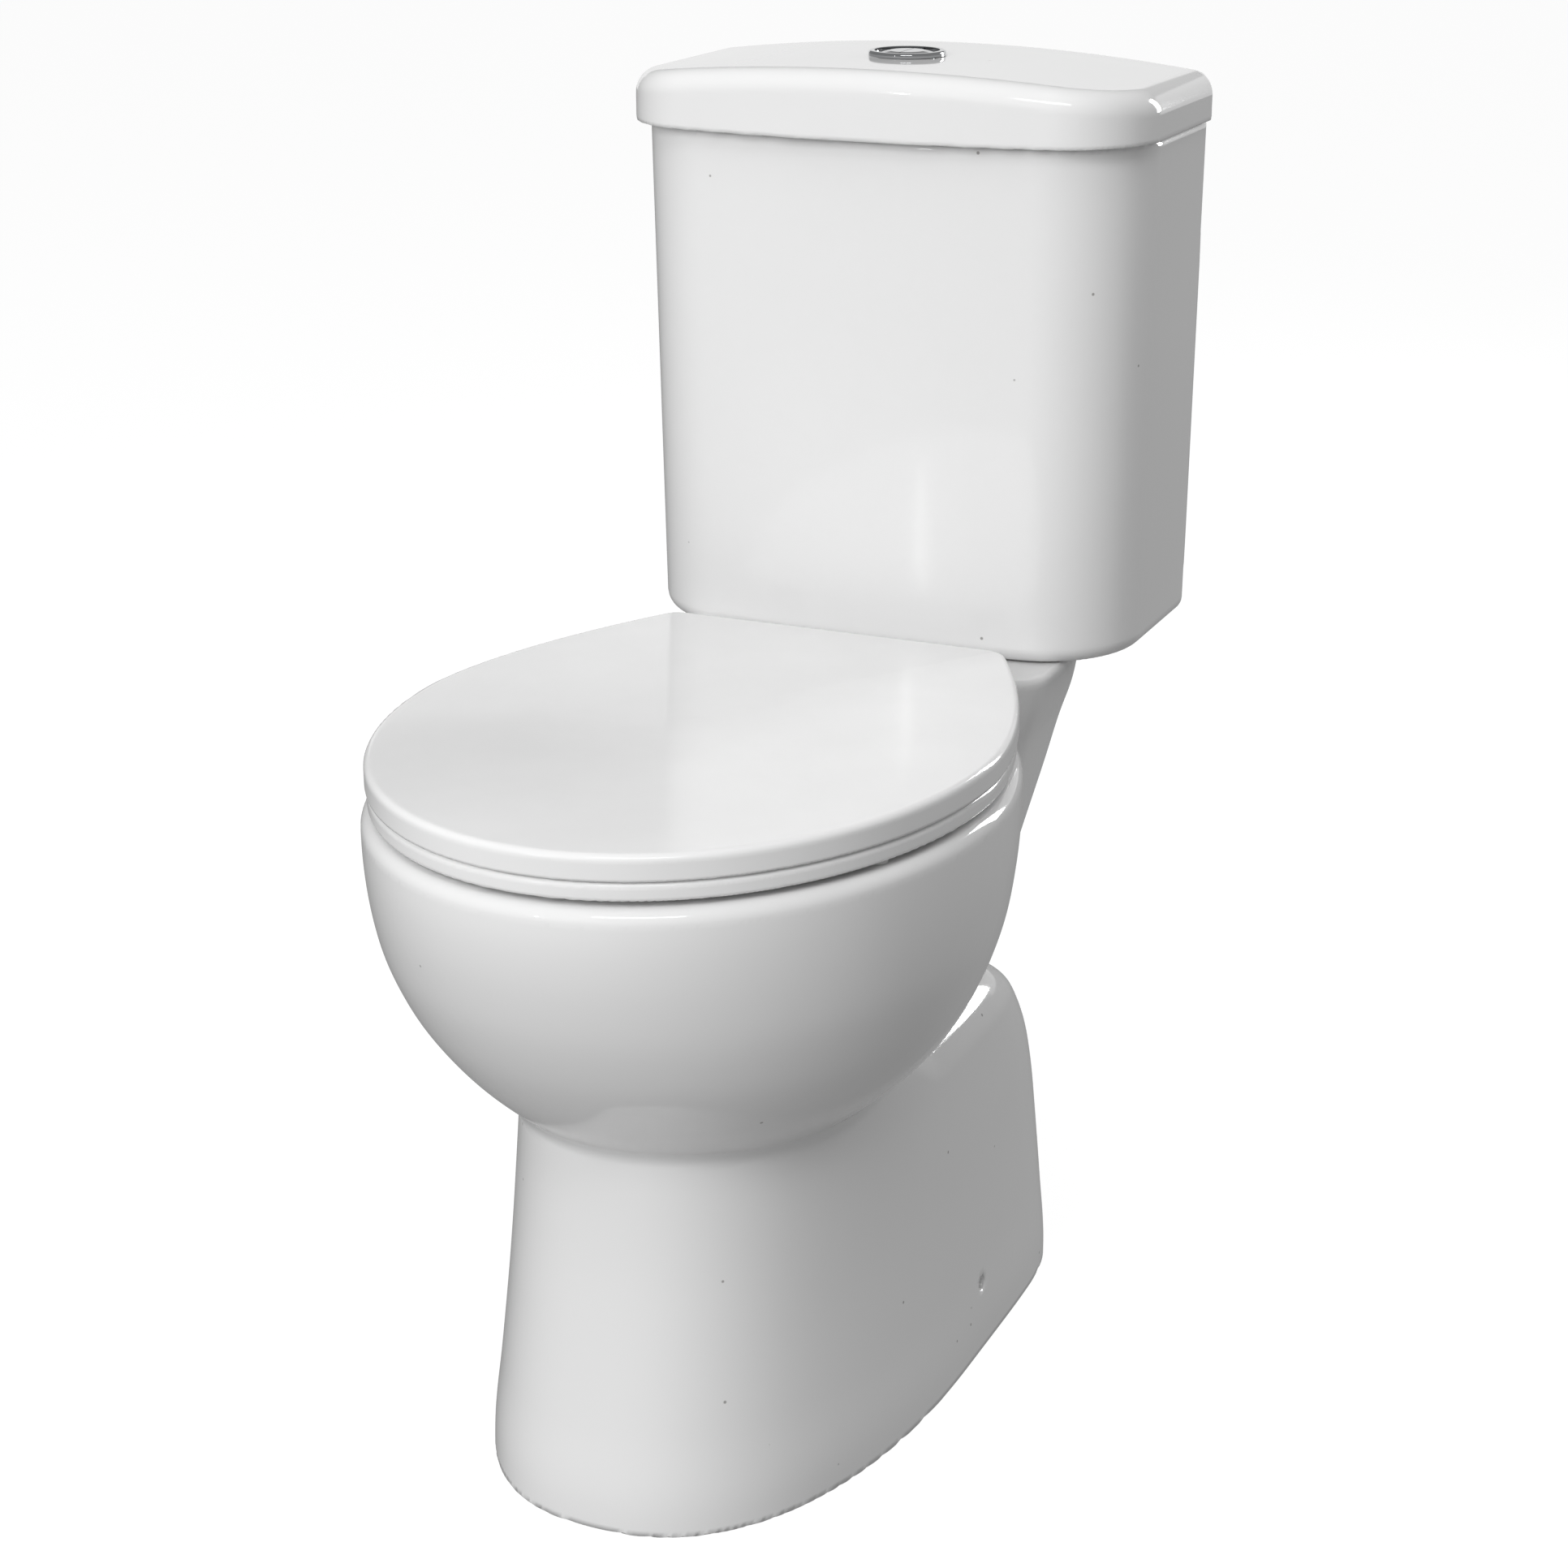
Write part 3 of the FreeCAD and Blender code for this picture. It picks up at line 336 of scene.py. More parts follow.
CAVITY = [
    (-20, 123, 301, 551, 60), (60, 118, 301, 542, 60), (120, 112.5, 301, 533, 60),
    (160, 109.5, 301, 528, 60), (195, 104, 302, 520, 100), (216, 92, 306, 500, 160),
]
NECK_HOLLOW = [(245, 52, 110, 186, -60), (320, 68, 110, 186, -60), (390, 80, 110, 186, -60)]

# The trapway's centre line as (depth, height) points, and the radius of each bend.
TRAP_LINE = [(372, 225), (335, 58), (205, 236), (150, 184), (40, 184)]
TRAP_BENDS = [45.0, 45.0, 45.0]


def trap_points():
    """Evenly dense points on the trapway's centre line, straight runs with tangent arcs."""
    corners = [np.array(p, float) for p in TRAP_LINE]
    points = []
    start = corners[0]
    for corner, after, radius in zip(corners[1:-1], corners[2:], TRAP_BENDS):
        inward = (start - corner) / np.linalg.norm(start - corner)
        outward = (after - corner) / np.linalg.norm(after - corner)
        half = math.acos(float(inward @ outward)) / 2
        first = corner + inward * radius / math.tan(half)
        last = corner + outward * radius / math.tan(half)
        middle = corner + (inward + outward) / np.linalg.norm(inward + outward) * radius / math.sin(half)
        points += [start + (first - start) * t for t in np.linspace(0, 1, 12)]
        sweep = math.pi - 2 * half
        for t in np.linspace(0, 1, 20):
            a = math.sin((1 - t) * sweep) / math.sin(sweep)
            b = math.sin(t * sweep) / math.sin(sweep)
            points.append(middle + (first - middle) * a + (last - middle) * b)
        start = last
    points += [start + (corners[-1] - start) * t for t in np.linspace(0, 1, 24)]
    return np.array(points)


TRAP = trap_points()


def trapway(x, d, z):
    """Distance from the trapway's centre line."""
    best = 1e9
    for a, b in zip(TRAP[:-1], TRAP[1:]):
        along = b - a
        size = float(along @ along)
        if size < 1e-9:
            continue
        t = np.clip(((d - a[0]) * along[0] + (z - a[1]) * along[1]) / size, 0, 1)
        gap = (d - a[0] - t * along[0]) ** 2 + (z - a[1] - t * along[1]) ** 2
        best = np.minimum(best, gap)
    return np.sqrt(best + x ** 2)


bowl_egg = egg(BOWL, (2.03, 1.9), 7)
foot_egg = egg(FOOT, (2.38, 6.0), 5)
neck_egg = egg(NECK, (6.0, 2.3), 6)
basin_egg = egg(BASIN, (2.1, 2.0), 4)
sump_egg = egg(SUMP_SKIN, (2.1, 2.0))
cavity_egg = egg(CAVITY, (2.38, 6.0))
hollow_egg = egg(NECK_HOLLOW, (6.0, 6.0))

TRAP_SKIN_R, TRAP_BORE_R = 42.0, 32.0
OUTLET_R, OUTLET_BORE_R, OUTLET_Z = 51.0, 43.0, 184.0
OUTLET_DEPTHS, MOUTH_DEPTH = (40.0, 80.0), 30.0
INLET_R, RECESS_R, CHANNEL_R = 36.0, 50.0, 18.0
RECESS_Z, INLET_FLOOR_Z, CHANNEL_Z = 400.0, 358.0, 374.0
POCKET_X, POCKET_Z, POCKET_R = 73.0, 375.0, 23.0
POCKET_DEPTHS = (72.0, 230.0)
SIDE_HOLE_D, SIDE_HOLE_Z, SIDE_HOLE_R = 273.0, 44.0, 5.0
SHOULDER_Z, SHOULDER_SLOPE, SHOULDER_END_D = 223.0, 0.4, 310.0
SHOULDER_RISE, SHOULDER_RUNOUT = 48.0, 90.0
SHOULDER_X = FOOT[0][1] - 20
NECK_LOW_Z, FOOT_TOP_Z, CAVITY_TOP_Z, BASIN_LOW_Z = 188.0, 263.0, 214.0, 152.0
HOLLOW_HEIGHTS, CHANNEL_DEPTHS = (250.0, 386.0), (85.0, 250.0)
CERAMIC_WALL = 10.0
BOLT_HOLE_R, BOLT_HOLE_LOW_Z, SIDE_HOLE_X = 5.0, 375.0, 100.0
RIM_EDGE_R, NECK_EDGE_R, SHOULDER_EDGE_R = 9.0, 5.0, 20.0
BOWL_TO_NECK_R, BODY_TO_FOOT_R, PIPE_FILLET_R = 26.0, 7.0, 6.0


def shoulder(ax, d, z):
    """The sloping top of the foot beside and behind the bowl, which rises out of the way under it."""
    share = np.clip((d - SHOULDER_END_D) / SHOULDER_RUNOUT, 0, 1)
    rise = SHOULDER_RISE * share ** 2 * (3 - 2 * share)
    return (z - SHOULDER_Z - SHOULDER_SLOPE * (SHOULDER_X - ax) - rise) / math.hypot(1, SHOULDER_SLOPE)


def pan_body(x, d, z):
    """The outside of bowl, neck and foot."""
    bowl = both(bowl_egg(x, d, z), z - RIM_Z, RIM_EDGE_R)
    neck = both(both(neck_egg(x, d, z), z - DECK_Z, NECK_EDGE_R), NECK_LOW_Z - z, 4)
    body = either(bowl, neck, BOWL_TO_NECK_R)
    foot = np.maximum(foot_egg(x, d, z), -z)
    foot = both(foot, z - FOOT_TOP_Z, 3)
    foot = both(foot, shoulder(np.abs(x), d, z), SHOULDER_EDGE_R)
    return either(body, foot, BODY_TO_FOOT_R)


def inlet_well(x, d, z, radius, floor_z, edge_r):
    """A round well from the deck down, on the flush valve's axis."""
    return both(rod(x, d - VALVE_D, radius), floor_z - z, edge_r)


def bolt_hole(ax, d, z, hole_d):
    """A pair of upright bolt holes."""
    return both(rod(ax - FIXING_X, d - hole_d, BOLT_HOLE_R), BOLT_HOLE_LOW_Z - z, 1)


def pan_field(x, d, z):
    ax = np.abs(x)
    mouth, root = OUTLET_DEPTHS
    body = pan_body(x, d, z)
    cavity = both(cavity_egg(x, d, z), z - CAVITY_TOP_Z, 10)
    cavity = less(cavity, sump_egg(x, d, z), 8)
    body = less(body, cavity, 3)
    trap = trapway(x, d, z)
    outlet = both(rod(x, z - OUTLET_Z, OUTLET_R), slab(d, mouth, root), 3)
    pipe = either(np.maximum(trap - TRAP_SKIN_R, mouth + 10 - d), outlet, PIPE_FILLET_R)
    body = either(body, pipe, PIPE_FILLET_R)
    hollow = both(hollow_egg(x, d, z), slab(z, *HOLLOW_HEIGHTS), 8)
    hollow = less(hollow, rod(x, z - CHANNEL_Z, CHANNEL_R + CERAMIC_WALL), 5)
    well = inlet_well(x, d, z, INLET_R + CERAMIC_WALL, INLET_FLOOR_Z - CERAMIC_WALL, 3)
    hollow = less(hollow, well, 5)
    hollow = less(hollow, pipe, 5)
    body = less(body, hollow, 4)
    body = less(body, np.maximum(trap - TRAP_BORE_R, mouth - d), 3)
    body = less(body, both(rod(x, z - OUTLET_Z, OUTLET_BORE_R), d - mouth - MOUTH_DEPTH, 3), 2)
    body = less(body, both(basin_egg(x, d, z), BASIN_LOW_Z - z, 10), 7)
    body = less(body, inlet_well(x, d, z, RECESS_R, RECESS_Z, 2), 3)
    body = less(body, inlet_well(x, d, z, INLET_R, INLET_FLOOR_Z, 4), 3)
    body = less(body, both(rod(x, z - CHANNEL_Z, CHANNEL_R), slab(d, *CHANNEL_DEPTHS), 2), 3)
    pocket = both(rod(ax - POCKET_X, z - POCKET_Z, POCKET_R), slab(d, *POCKET_DEPTHS), 5)
    body = less(body, pocket, 3)
    for hole_d in (VALVE_D, HINGE_D):
        body = less(body, bolt_hole(ax, d, z, hole_d), 1)
    side_hole = both(rod(d - SIDE_HOLE_D, z - SIDE_HOLE_Z, SIDE_HOLE_R), SIDE_HOLE_X - ax, 1)
    return less(body, side_hole, 1.2)


def make_pan():
    pan = solid("pan_ceramic", pan_field, PAN_LOW, PAN_HIGH, PAN_CELL)
    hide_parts("pan")
    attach(pan, "root")
    pan.data.materials.append(GLAZE)


# ---------------------------------------------------------------- cistern
def bowed_plan(x, d, half, side_depth, bow, front_r, rear_r):
    """Plan of the cistern: flat back and sides, shallow arc in front, rounded corners."""
    radius = (half ** 2 + bow ** 2) / (2 * bow)
    front = np.hypot(x, d - (side_depth + bow - radius)) - radius
    plan = both(np.abs(x) - half, front, front_r)
    return both(plan, -d, rear_r)


TANK_BASE = (165.7, 151.4)
TANK_TOP = (169.3, 157.5)
TANK_BOW, TANK_FRONT_R, TANK_REAR_R, TANK_EDGE_R = 14.0, 59.0, 6.0, 11.0
TANK_WALL, TANK_FLOOR = 9.0, 12.0
VALVE_HOLE_R, FILL_HOLE_R, WALL_HOLE_R = 31.5, 11.0, 4.0
FLOOR_HOLE_TOP_Z, WALL_HOLE_Z, WALL_HOLE_DEPTH = 500.0, 650.0, 30.0


def tank_field(x, d, z):
    rise = (z - TANK_LOW[2]) / (TANK_HIGH[2] - TANK_LOW[2])
    half = TANK_BASE[0] + (TANK_TOP[0] - TANK_BASE[0]) * rise
    depth = TANK_BASE[1] + (TANK_TOP[1] - TANK_BASE[1]) * rise
    plan = bowed_plan(x, d, half, depth, TANK_BOW, TANK_FRONT_R, TANK_REAR_R)
    outside = both(both(plan, TANK_LOW[2] - z, TANK_EDGE_R), z - TANK_HIGH[2], 2.5)
    inside = both(plan + TANK_WALL, TANK_LOW[2] + TANK_FLOOR - z, 12)
    tank = less(outside, inside, 2.5)
    across = np.abs(x) - FIXING_X
    for hole in (
        rod(x, d - VALVE_D, VALVE_HOLE_R),
        rod(across, d - VALVE_D, BOLT_HOLE_R),
        rod(x - FILL_X, d - FILL_D, FILL_HOLE_R),
    ):
        tank = less(tank, both(hole, z - FLOOR_HOLE_TOP_Z, 1), 1)
    return less(tank, both(rod(across, z - WALL_HOLE_Z, WALL_HOLE_R), d - WALL_HOLE_DEPTH, 1), 1)


LID_HALF, LID_SIDE_DEPTH, LID_BOW, LID_FRONT_R, LID_REAR_R = 173.0, 164.5, 20.0, 50.0, 8.0
LID_CROWN_R, LID_EDGE_R, LID_RIM, LID_HOLLOW_Z = 1264.0, 14.0, 15.0, 768.0
BUTTON_HOLE_R = 19.0


def lid_field(x, d, z):
    plan = bowed_plan(x, d, LID_HALF, LID_SIDE_DEPTH, LID_BOW, LID_FRONT_R, LID_REAR_R)
    crown = np.hypot(x, z - (LID_HIGH[2] - LID_CROWN_R)) - LID_CROWN_R
    outside = both(both(plan, crown, LID_EDGE_R), LID_LOW[2] - z, 2)
    lid = less(outside, both(plan + LID_RIM, z - LID_HOLLOW_Z, 6), 2)
    return less(lid, rod(x, d - BUTTON_D, BUTTON_HOLE_R), 0.8)


def make_cistern():
    tank = solid("tank_ceramic", tank_field, TANK_LOW, TANK_HIGH, TANK_CELL)
    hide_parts("cistern_tank")
    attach(tank, "root")
    lid = solid("lid_ceramic", lid_field, LID_LOW, LID_HIGH, LID_CELL)
    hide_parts("cistern_lid")
    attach(lid, "lid")
    for piece in (tank, lid):
        piece.data.materials.append(GLAZE)


# ---------------------------------------------------------------- seat and cover
SEAT_HALF, SEAT_WIDEST_D, SEAT_FRONT_D = 180.0, 403.4, 628.9
SEAT_BACK_HALF, SEAT_BACK_D, SEAT_SIDE_POWER, SEAT_CORNER_R = 112.5, 204.8, 1.70, 9.0


def seat_plan(x, d):
    """The D-shaped outline: half an ellipse in front, sides that draw in to a straight back."""
    length = SEAT_FRONT_D - SEAT_WIDEST_D
    u = np.abs(x) / SEAT_HALF + 1e-6
    v = np.abs(d - SEAT_WIDEST_D) / length
    r = np.hypot(u, v)
    front = (r - 1) / np.hypot(u / r / SEAT_HALF, v / r / length)
    span = SEAT_WIDEST_D - SEAT_BACK_D
    share = np.clip((SEAT_WIDEST_D - d) / span, 0, 1.2)
    width = SEAT_BACK_HALF + (SEAT_HALF - SEAT_BACK_HALF) * (1 - share ** SEAT_SIDE_POWER)
    lean = (SEAT_HALF - SEAT_BACK_HALF) * SEAT_SIDE_POWER * share ** (SEAT_SIDE_POWER - 1) / span
    rear = (np.abs(x) - width) / np.hypot(1, lean)
    return both(np.where(d > SEAT_WIDEST_D, front, rear), SEAT_BACK_D - d, SEAT_CORNER_R)


RING_KNUCKLE = (90.0, 100.0)
COVER_KNUCKLE = (57.0, 65.0)
KNUCKLE_R, POST_GAP, PIN_BORE_R = 8.0, 11.5, 4.05
RING_BACK_D, RING_TOP_Z, RING_INSET = 218.0, 429.4, 1.0
POST_SLOT_DEPTH, KNUCKLE_SLOT_DEPTH, SLOT_TOP_Z = 17.0, 10.0, 440.5
COVER_EDGE_Z, COVER_BASE_Z, COVER_SHELL, COVER_LIP = 445.0, 430.2, 4.5, 6.0
COVER_CROWN = COVER_HIGH[2] - COVER_EDGE_Z
CROWN_REACH, WEB_HALF, PIN_SPAN = 55.0, 6.0, (50.0, 105.0)
ring_hole = egg([(300, 112, 408, 560, 262), (500, 112, 408, 560, 262)], (2.1, 2.2))


def hinge_line(d, z, radius):
    """A cylinder round the seat's hinge axis."""
    return rod(d - HINGE_D, z - HINGE_Z, radius)


def notch(ax, d, low, high, front_d):
    """A slot from the back of the seat, between two distances from the middle."""
    return np.maximum(slab(ax, low, high), d - front_d)


def post_slot(ax, d):
    """Room for the hinge posts at the back of the seat."""
    return notch(ax, d, FIXING_X - POST_GAP, FIXING_X + POST_GAP, HINGE_D + POST_SLOT_DEPTH)


def ring_field(x, d, z):
    ax = np.abs(x)
    outline = seat_plan(x, d) + RING_INSET
    hole = ring_hole(x, d, z)
    ring = both(outline, z - RING_TOP_Z, 3.2)
    ring = both(ring, RING_LOW[2] - z, 2.2)
    ring = less(ring, hole, 5.0)
    ring = np.maximum(ring, RING_BACK_D - d)
    ring = less(ring, post_slot(ax, d), 1.2)
    knuckle_slot = notch(ax, d, COVER_KNUCKLE[0] - 1, COVER_KNUCKLE[1] + 1, HINGE_D + KNUCKLE_SLOT_DEPTH)
    ring = less(ring, knuckle_slot, 1.2)
    knuckle = both(hinge_line(d, z, KNUCKLE_R), slab(ax, *RING_KNUCKLE), 1)
    ring = either(ring, knuckle, 2)
    return less(ring, hinge_line(d, z, PIN_BORE_R), 0.3)


def cover_field(x, d, z):
    ax = np.abs(x)
    plan = seat_plan(x, d)
    crown = COVER_CROWN * (1 - np.exp(np.minimum(plan, 0) / CROWN_REACH))
    cover = both(plan, z - COVER_EDGE_Z - crown, 4.0)
    cover = both(cover, COVER_BASE_Z - z, 1.2)
    inside = both(plan + COVER_LIP, z - (COVER_EDGE_Z - COVER_SHELL), 3)
    cover = less(cover, inside, 1)
    cover = less(cover, np.maximum(post_slot(ax, d), z - SLOT_TOP_Z), 0.8)
    near, far = COVER_KNUCKLE
    web = np.maximum(slab(d, HINGE_D - WEB_HALF, HINGE_D + WEB_HALF), slab(z, HINGE_Z, COVER_EDGE_Z - 3))
    knuckle = both(np.minimum(hinge_line(d, z, KNUCKLE_R), web), slab(ax, near, far), 0.8)
    cover = either(cover, knuckle, 1.5)
    ring_room = slab(ax, RING_KNUCKLE[0] - 1, RING_KNUCKLE[1] + 1)
    cover = less(cover, both(hinge_line(d, z, KNUCKLE_R + 0.5), ring_room, 0.3), 0.5)
    return less(cover, both(hinge_line(d, z, PIN_BORE_R), slab(ax, *PIN_SPAN), 0.3), 0.3)


def make_seat():
    ring = solid("seat_ring_shell", ring_field, RING_LOW, RING_HIGH, SEAT_CELL)
    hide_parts("seat_ring")
    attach(ring, "seat")
    cover = solid("seat_cover_shell", cover_field, COVER_LOW, COVER_HIGH, SEAT_CELL)
    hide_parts("seat_cover")
    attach(cover, "cover")
    for piece in (ring, cover):
        piece.data.materials.append(SEAT_PLASTIC)


# ---------------------------------------------------------------- materials
def new_material(name):
    material = bpy.data.materials.new(name)
    material.use_nodes = True
    tree = material.node_tree
    return material, tree, tree.nodes["Principled BSDF"]


def noise(tree, scale, detail=2.0, roughness=0.5):
    coords = tree.nodes.new("ShaderNodeTexCoord")
    node = tree.nodes.new("ShaderNodeTexNoise")
    node.inputs["Scale"].default_value = scale
    node.inputs["Detail"].default_value = detail
    node.inputs["Roughness"].default_value = roughness
    tree.links.new(coords.outputs["Object"], node.inputs["Vector"])
    return node


def ramp(tree, source, low, high, at=(0.0, 1.0)):
    node = tree.nodes.new("ShaderNodeValToRGB")
    node.color_ramp.elements[0].position = at[0]
    node.color_ramp.elements[0].color = (*low, 1)
    node.color_ramp.elements[1].position = at[1]
    node.color_ramp.elements[1].color = (*high, 1)
    tree.links.new(source, node.inputs["Fac"])
    return node


def bump(tree, shader, height, strength, distance):
    node = tree.nodes.new("ShaderNodeBump")
    node.inputs["Strength"].default_value = strength
    node.inputs["Distance"].default_value = distance
    tree.links.new(height, node.inputs["Height"])
    tree.links.new(node.outputs["Normal"], shader.inputs["Normal"])
    return node


def finish(name, dark, light, roughness, metal=0.0, grain=60.0, relief=0.02, coat=0.0):
    """A moulded, cast or plated surface: slight colour change, uneven gloss and fine relief."""
    material, tree, shader = new_material(name)
    tone = noise(tree, grain, 3.0)
    colour = ramp(tree, tone.outputs["Fac"], dark, light, (0.3, 0.7))
    tree.links.new(colour.outputs["Color"], shader.inputs["Base Color"])
    gloss = noise(tree, grain * 0.6, 2.0)
    spread = ramp(tree, gloss.outputs["Fac"], (roughness * 0.85,) * 3, (roughness * 1.2,) * 3, (0.3, 0.7))
    tree.links.new(spread.outputs["Color"], shader.inputs["Roughness"])
    shader.inputs["Metallic"].default_value = metal
    shader.inputs["Coat Weight"].default_value = coat
    shader.inputs["Coat Roughness"].default_value = 0.05
    fine = noise(tree, grain * 8, 2.0)
    bump(tree, shader, fine.outputs["Fac"], relief, 0.0004)
    return material


def glaze_material():
    """White vitreous glaze: deep gloss, faint waviness, soft tone drift and a few tiny dark pinholes."""
    material, tree, shader = new_material("white_glaze")
    tone = noise(tree, 3.0, 2.0)
    base = ramp(tree, tone.outputs["Fac"], (0.80, 0.80, 0.80), (0.83, 0.83, 0.83), (0.35, 0.65))
    coords = tree.nodes.new("ShaderNodeTexCoord")
    cells = tree.nodes.new("ShaderNodeTexVoronoi")
    cells.inputs["Scale"].default_value = 30.0
    tree.links.new(coords.outputs["Object"], cells.inputs["Vector"])
    speck = ramp(tree, cells.outputs["Distance"], (0.45, 0.44, 0.43), (1.0, 1.0, 1.0), (0.022, 0.036))
    mix = tree.nodes.new("ShaderNodeMix")
    mix.data_type = "RGBA"
    mix.blend_type = "MULTIPLY"
    mix.inputs["Factor"].default_value = 1.0
    tree.links.new(base.outputs["Color"], mix.inputs["A"])
    tree.links.new(speck.outputs["Color"], mix.inputs["B"])
    tree.links.new(mix.outputs["Result"], shader.inputs["Base Color"])
    gloss = noise(tree, 9.0, 3.0)
    spread = ramp(tree, gloss.outputs["Fac"], (0.055,) * 3, (0.10,) * 3, (0.3, 0.7))
    tree.links.new(spread.outputs["Color"], shader.inputs["Roughness"])
    shader.inputs["IOR"].default_value = 1.52
    shader.inputs["Coat Weight"].default_value = 0.35
    shader.inputs["Coat Roughness"].default_value = 0.03
    wave = noise(tree, 7.0, 2.0)
    bump(tree, shader, wave.outputs["Fac"], 0.05, 0.004)
    return material


GLAZE = glaze_material()
SEAT_PLASTIC = finish(
    "seat_thermoset", (0.80, 0.80, 0.80), (0.83, 0.83, 0.83), 0.14, grain=14, relief=0.01, coat=0.3
)
FINISHES = {
    "seat_plastic": SEAT_PLASTIC,
    "glaze": GLAZE,
    "chrome": finish(
        "polished_chrome", (0.50, 0.51, 0.52), (0.58, 0.59, 0.60), 0.07, metal=1.0, grain=40, relief=0.01
    ),
    "steel": finish(
        "satin_steel", (0.50, 0.50, 0.51), (0.62, 0.62, 0.63), 0.28, metal=1.0, grain=90, relief=0.06
    ),
    "valve_white": finish(
        "valve_plastic_white", (0.78, 0.79, 0.78), (0.84, 0.85, 0.84), 0.38, grain=50, relief=0.05
    ),
    "valve_grey": finish(
        "valve_plastic_grey", (0.20, 0.22, 0.24), (0.26, 0.28, 0.30), 0.42, grain=50, relief=0.05
    ),
    "valve_blue": finish(
        "valve_plastic_blue", (0.03, 0.11, 0.34), (0.05, 0.15, 0.42), 0.36, grain=50, relief=0.05
    ),
    "rubber": finish(
        "black_rubber", (0.020, 0.020, 0.021), (0.035, 0.035, 0.036), 0.62, grain=120, relief=0.12
    ),
    "buffer": finish(
        "pale_rubber", (0.66, 0.66, 0.65), (0.74, 0.74, 0.73), 0.5, grain=120, relief=0.08
    ),
}


def finish_cad_nodes():
    slots = {row["node"]: row["material_slot"] for row in frame["record"]["subparts"]}
    for name, node in frame["nodes"].items():
        material = FINISHES[slots[name]]
        if not node.data.materials:
            node.data.materials.append(material)
        for k in range(len(node.data.materials)):
            node.data.materials[k] = material


# ---------------------------------------------------------------- studio
CAMERA_PLACE = (0.73932, WALL_Y * MM - 1.94019, 1.01166)
CAMERA_AZIMUTH, CAMERA_DROP, CAMERA_ROLL = 0.4203, 0.3413, -0.0037
SENSOR_MM, LENS_MM = 36.0, 71.517
FLOOR_REACH, SURROUND_REACH, WORLD_GLOW = 12.0, 14.0, 0.28


def make_camera():
    data = bpy.data.cameras.new("studio_camera")
    data.sensor_width = SENSOR_MM
    data.sensor_height = SENSOR_MM
    data.lens = LENS_MM
    data.clip_end = 100
    camera = bpy.data.objects.new("studio_camera", data)
    turn = Matrix.Rotation(CAMERA_AZIMUTH, 4, "Z")
    tilt = Matrix.Rotation(math.pi / 2 - CAMERA_DROP, 4, "X")
    roll = Matrix.Rotation(CAMERA_ROLL, 4, "Z")
    camera.matrix_world = Matrix.Translation(CAMERA_PLACE) @ turn @ tilt @ roll
    bpy.context.scene.collection.objects.link(camera)
    bpy.context.scene.camera = camera


def glowing(name, base, glow):
    material, tree, shader = new_material(name)
    shader.inputs["Base Color"].default_value = (base, base, base, 1)
    shader.inputs["Roughness"].default_value = 1.0
    shader.inputs["Specular IOR Level"].default_value = 0.0
    shader.inputs["Emission Color"].default_value = (1, 1, 1, 1)
    shader.inputs["Emission Strength"].default_value = glow
    return material


def stage_piece(name, mesh, material, reflected=False):
    """A part of the studio that lights nothing; the camera sees it, or only the glaze reflects it."""
    piece = bpy.data.objects.new(name, mesh)
    mesh.materials.append(material)
    piece.visible_diffuse = False
    piece.visible_glossy = reflected
    piece.visible_transmission = False
    piece.visible_shadow = False
    piece.visible_camera = not reflected
    bpy.context.scene.collection.objects.link(piece)


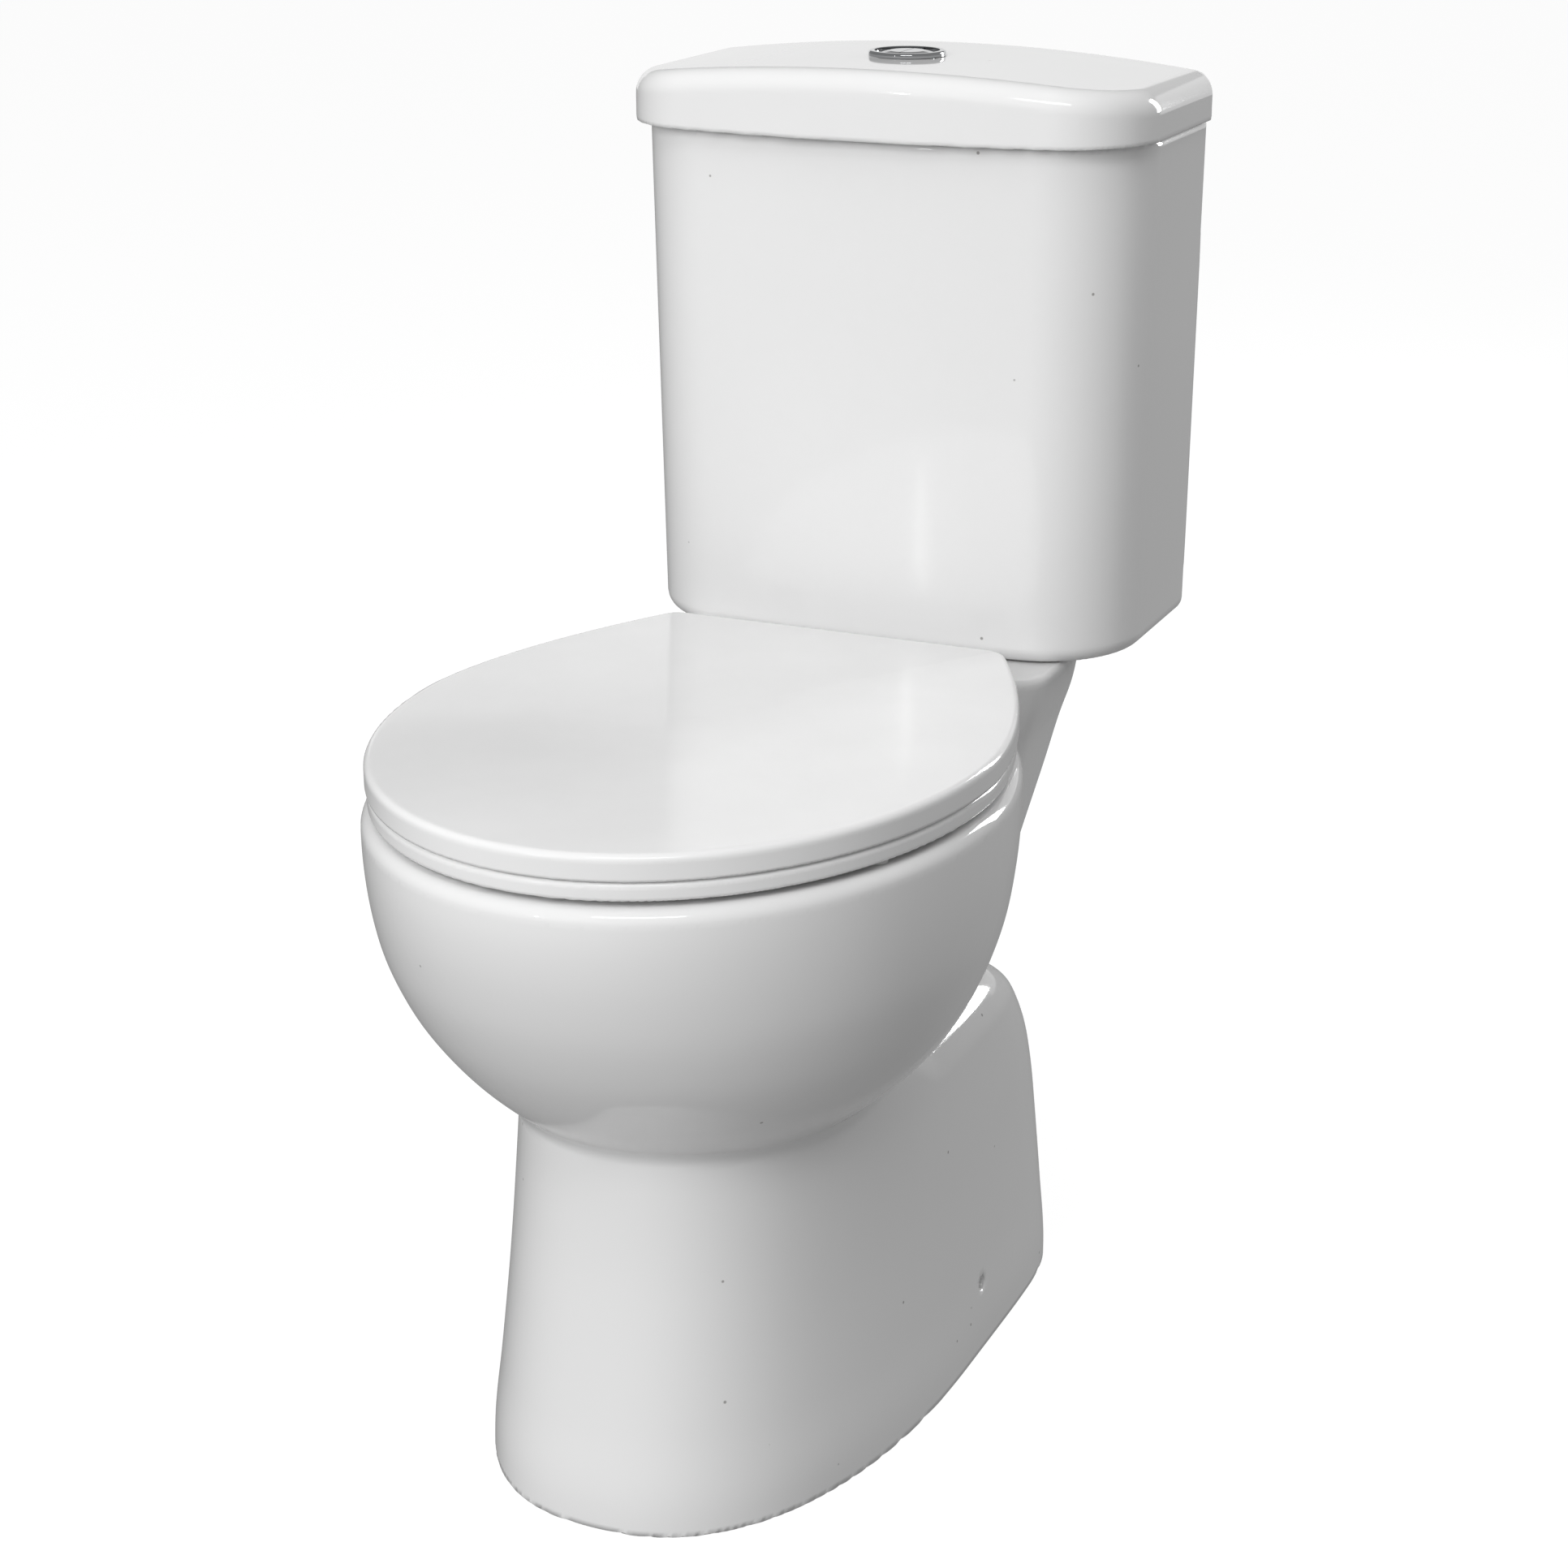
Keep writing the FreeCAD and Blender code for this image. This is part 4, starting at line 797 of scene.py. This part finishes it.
def make_floor():
    """A white floor that keeps only a faint contact shadow, inside a plain white surround."""
    reach = FLOOR_REACH
    floor = bpy.data.meshes.new("studio_floor")
    corners = [(-reach, -reach, 0), (reach, -reach, 0), (reach, reach, 0), (-reach, reach, 0)]
    floor.from_pydata(corners, [], [(0, 1, 2, 3)])
    stage_piece("studio_floor", floor, glowing("pale_floor", 0.16, 0.92))
    surround = bpy.data.meshes.new("studio_surround")
    far = SURROUND_REACH
    box = [(x, y, z) for x in (-far, far) for y in (-far, far) for z in (-far, far)]
    sides = [(0, 1, 3, 2), (4, 6, 7, 5), (0, 4, 5, 1), (2, 3, 7, 6), (0, 2, 6, 4), (1, 5, 7, 3)]
    surround.from_pydata(box, [], sides)
    stage_piece("studio_surround", surround, glowing("white_surround", 0.0, 1.0))
    card = bpy.data.meshes.new("rear_card")
    corners = [(-3.2, 3.0, 0.45), (1.4, 3.0, 0.45), (1.4, 3.0, 1.6), (-3.2, 3.0, 1.6)]
    card.from_pydata(corners, [], [(0, 1, 2, 3)])
    stage_piece("rear_card", card, glowing("rear_card_white", 0.0, 0.85), reflected=True)


def area_light(name, place, aim, size, power, seen_in_gloss=True):
    data = bpy.data.lights.new(name, "AREA")
    data.shape = "RECTANGLE"
    data.size, data.size_y = size
    data.energy = power
    light = bpy.data.objects.new(name, data)
    light.location = place
    light.rotation_euler = (Vector(aim) - Vector(place)).to_track_quat("-Z", "Y").to_euler()
    light.visible_glossy = seen_in_gloss
    light.visible_camera = False
    bpy.context.scene.collection.objects.link(light)


def make_lights():
    world = bpy.data.worlds.new("studio_world")
    world.use_nodes = True
    world.node_tree.nodes["Background"].inputs["Color"].default_value = (1, 1, 1, 1)
    world.node_tree.nodes["Background"].inputs["Strength"].default_value = WORLD_GLOW
    bpy.context.scene.world = world
    middle = (0, 0, 0.45)
    # The key and the overhead stay out of reflections; the windows give the glaze its highlights.
    area_light("key", (-0.50, -3.2, 2.0), middle, (1.6, 1.6), 80, False)
    area_light("overhead", (-0.1, -0.5, 3.1), middle, (2.6, 2.6), 24, False)
    area_light("rear_window", (1.35, 2.7, 1.30), middle, (0.5, 1.2), 30)
    area_light("front_strip", (0.75, -2.0, 2.8), (0.1, 0.1, 0.75), (1.6, 0.40), 12)
    area_light("slim_window", (-1.05, -3.42, 1.60), (0.06, -0.3, 0.5), (0.05, 0.40), 1.7)
    bpy.context.scene.view_settings.view_transform = "Standard"


make_camera()
make_floor()
make_lights()
make_pan()
make_cistern()
make_seat()
finish_cad_nodes()
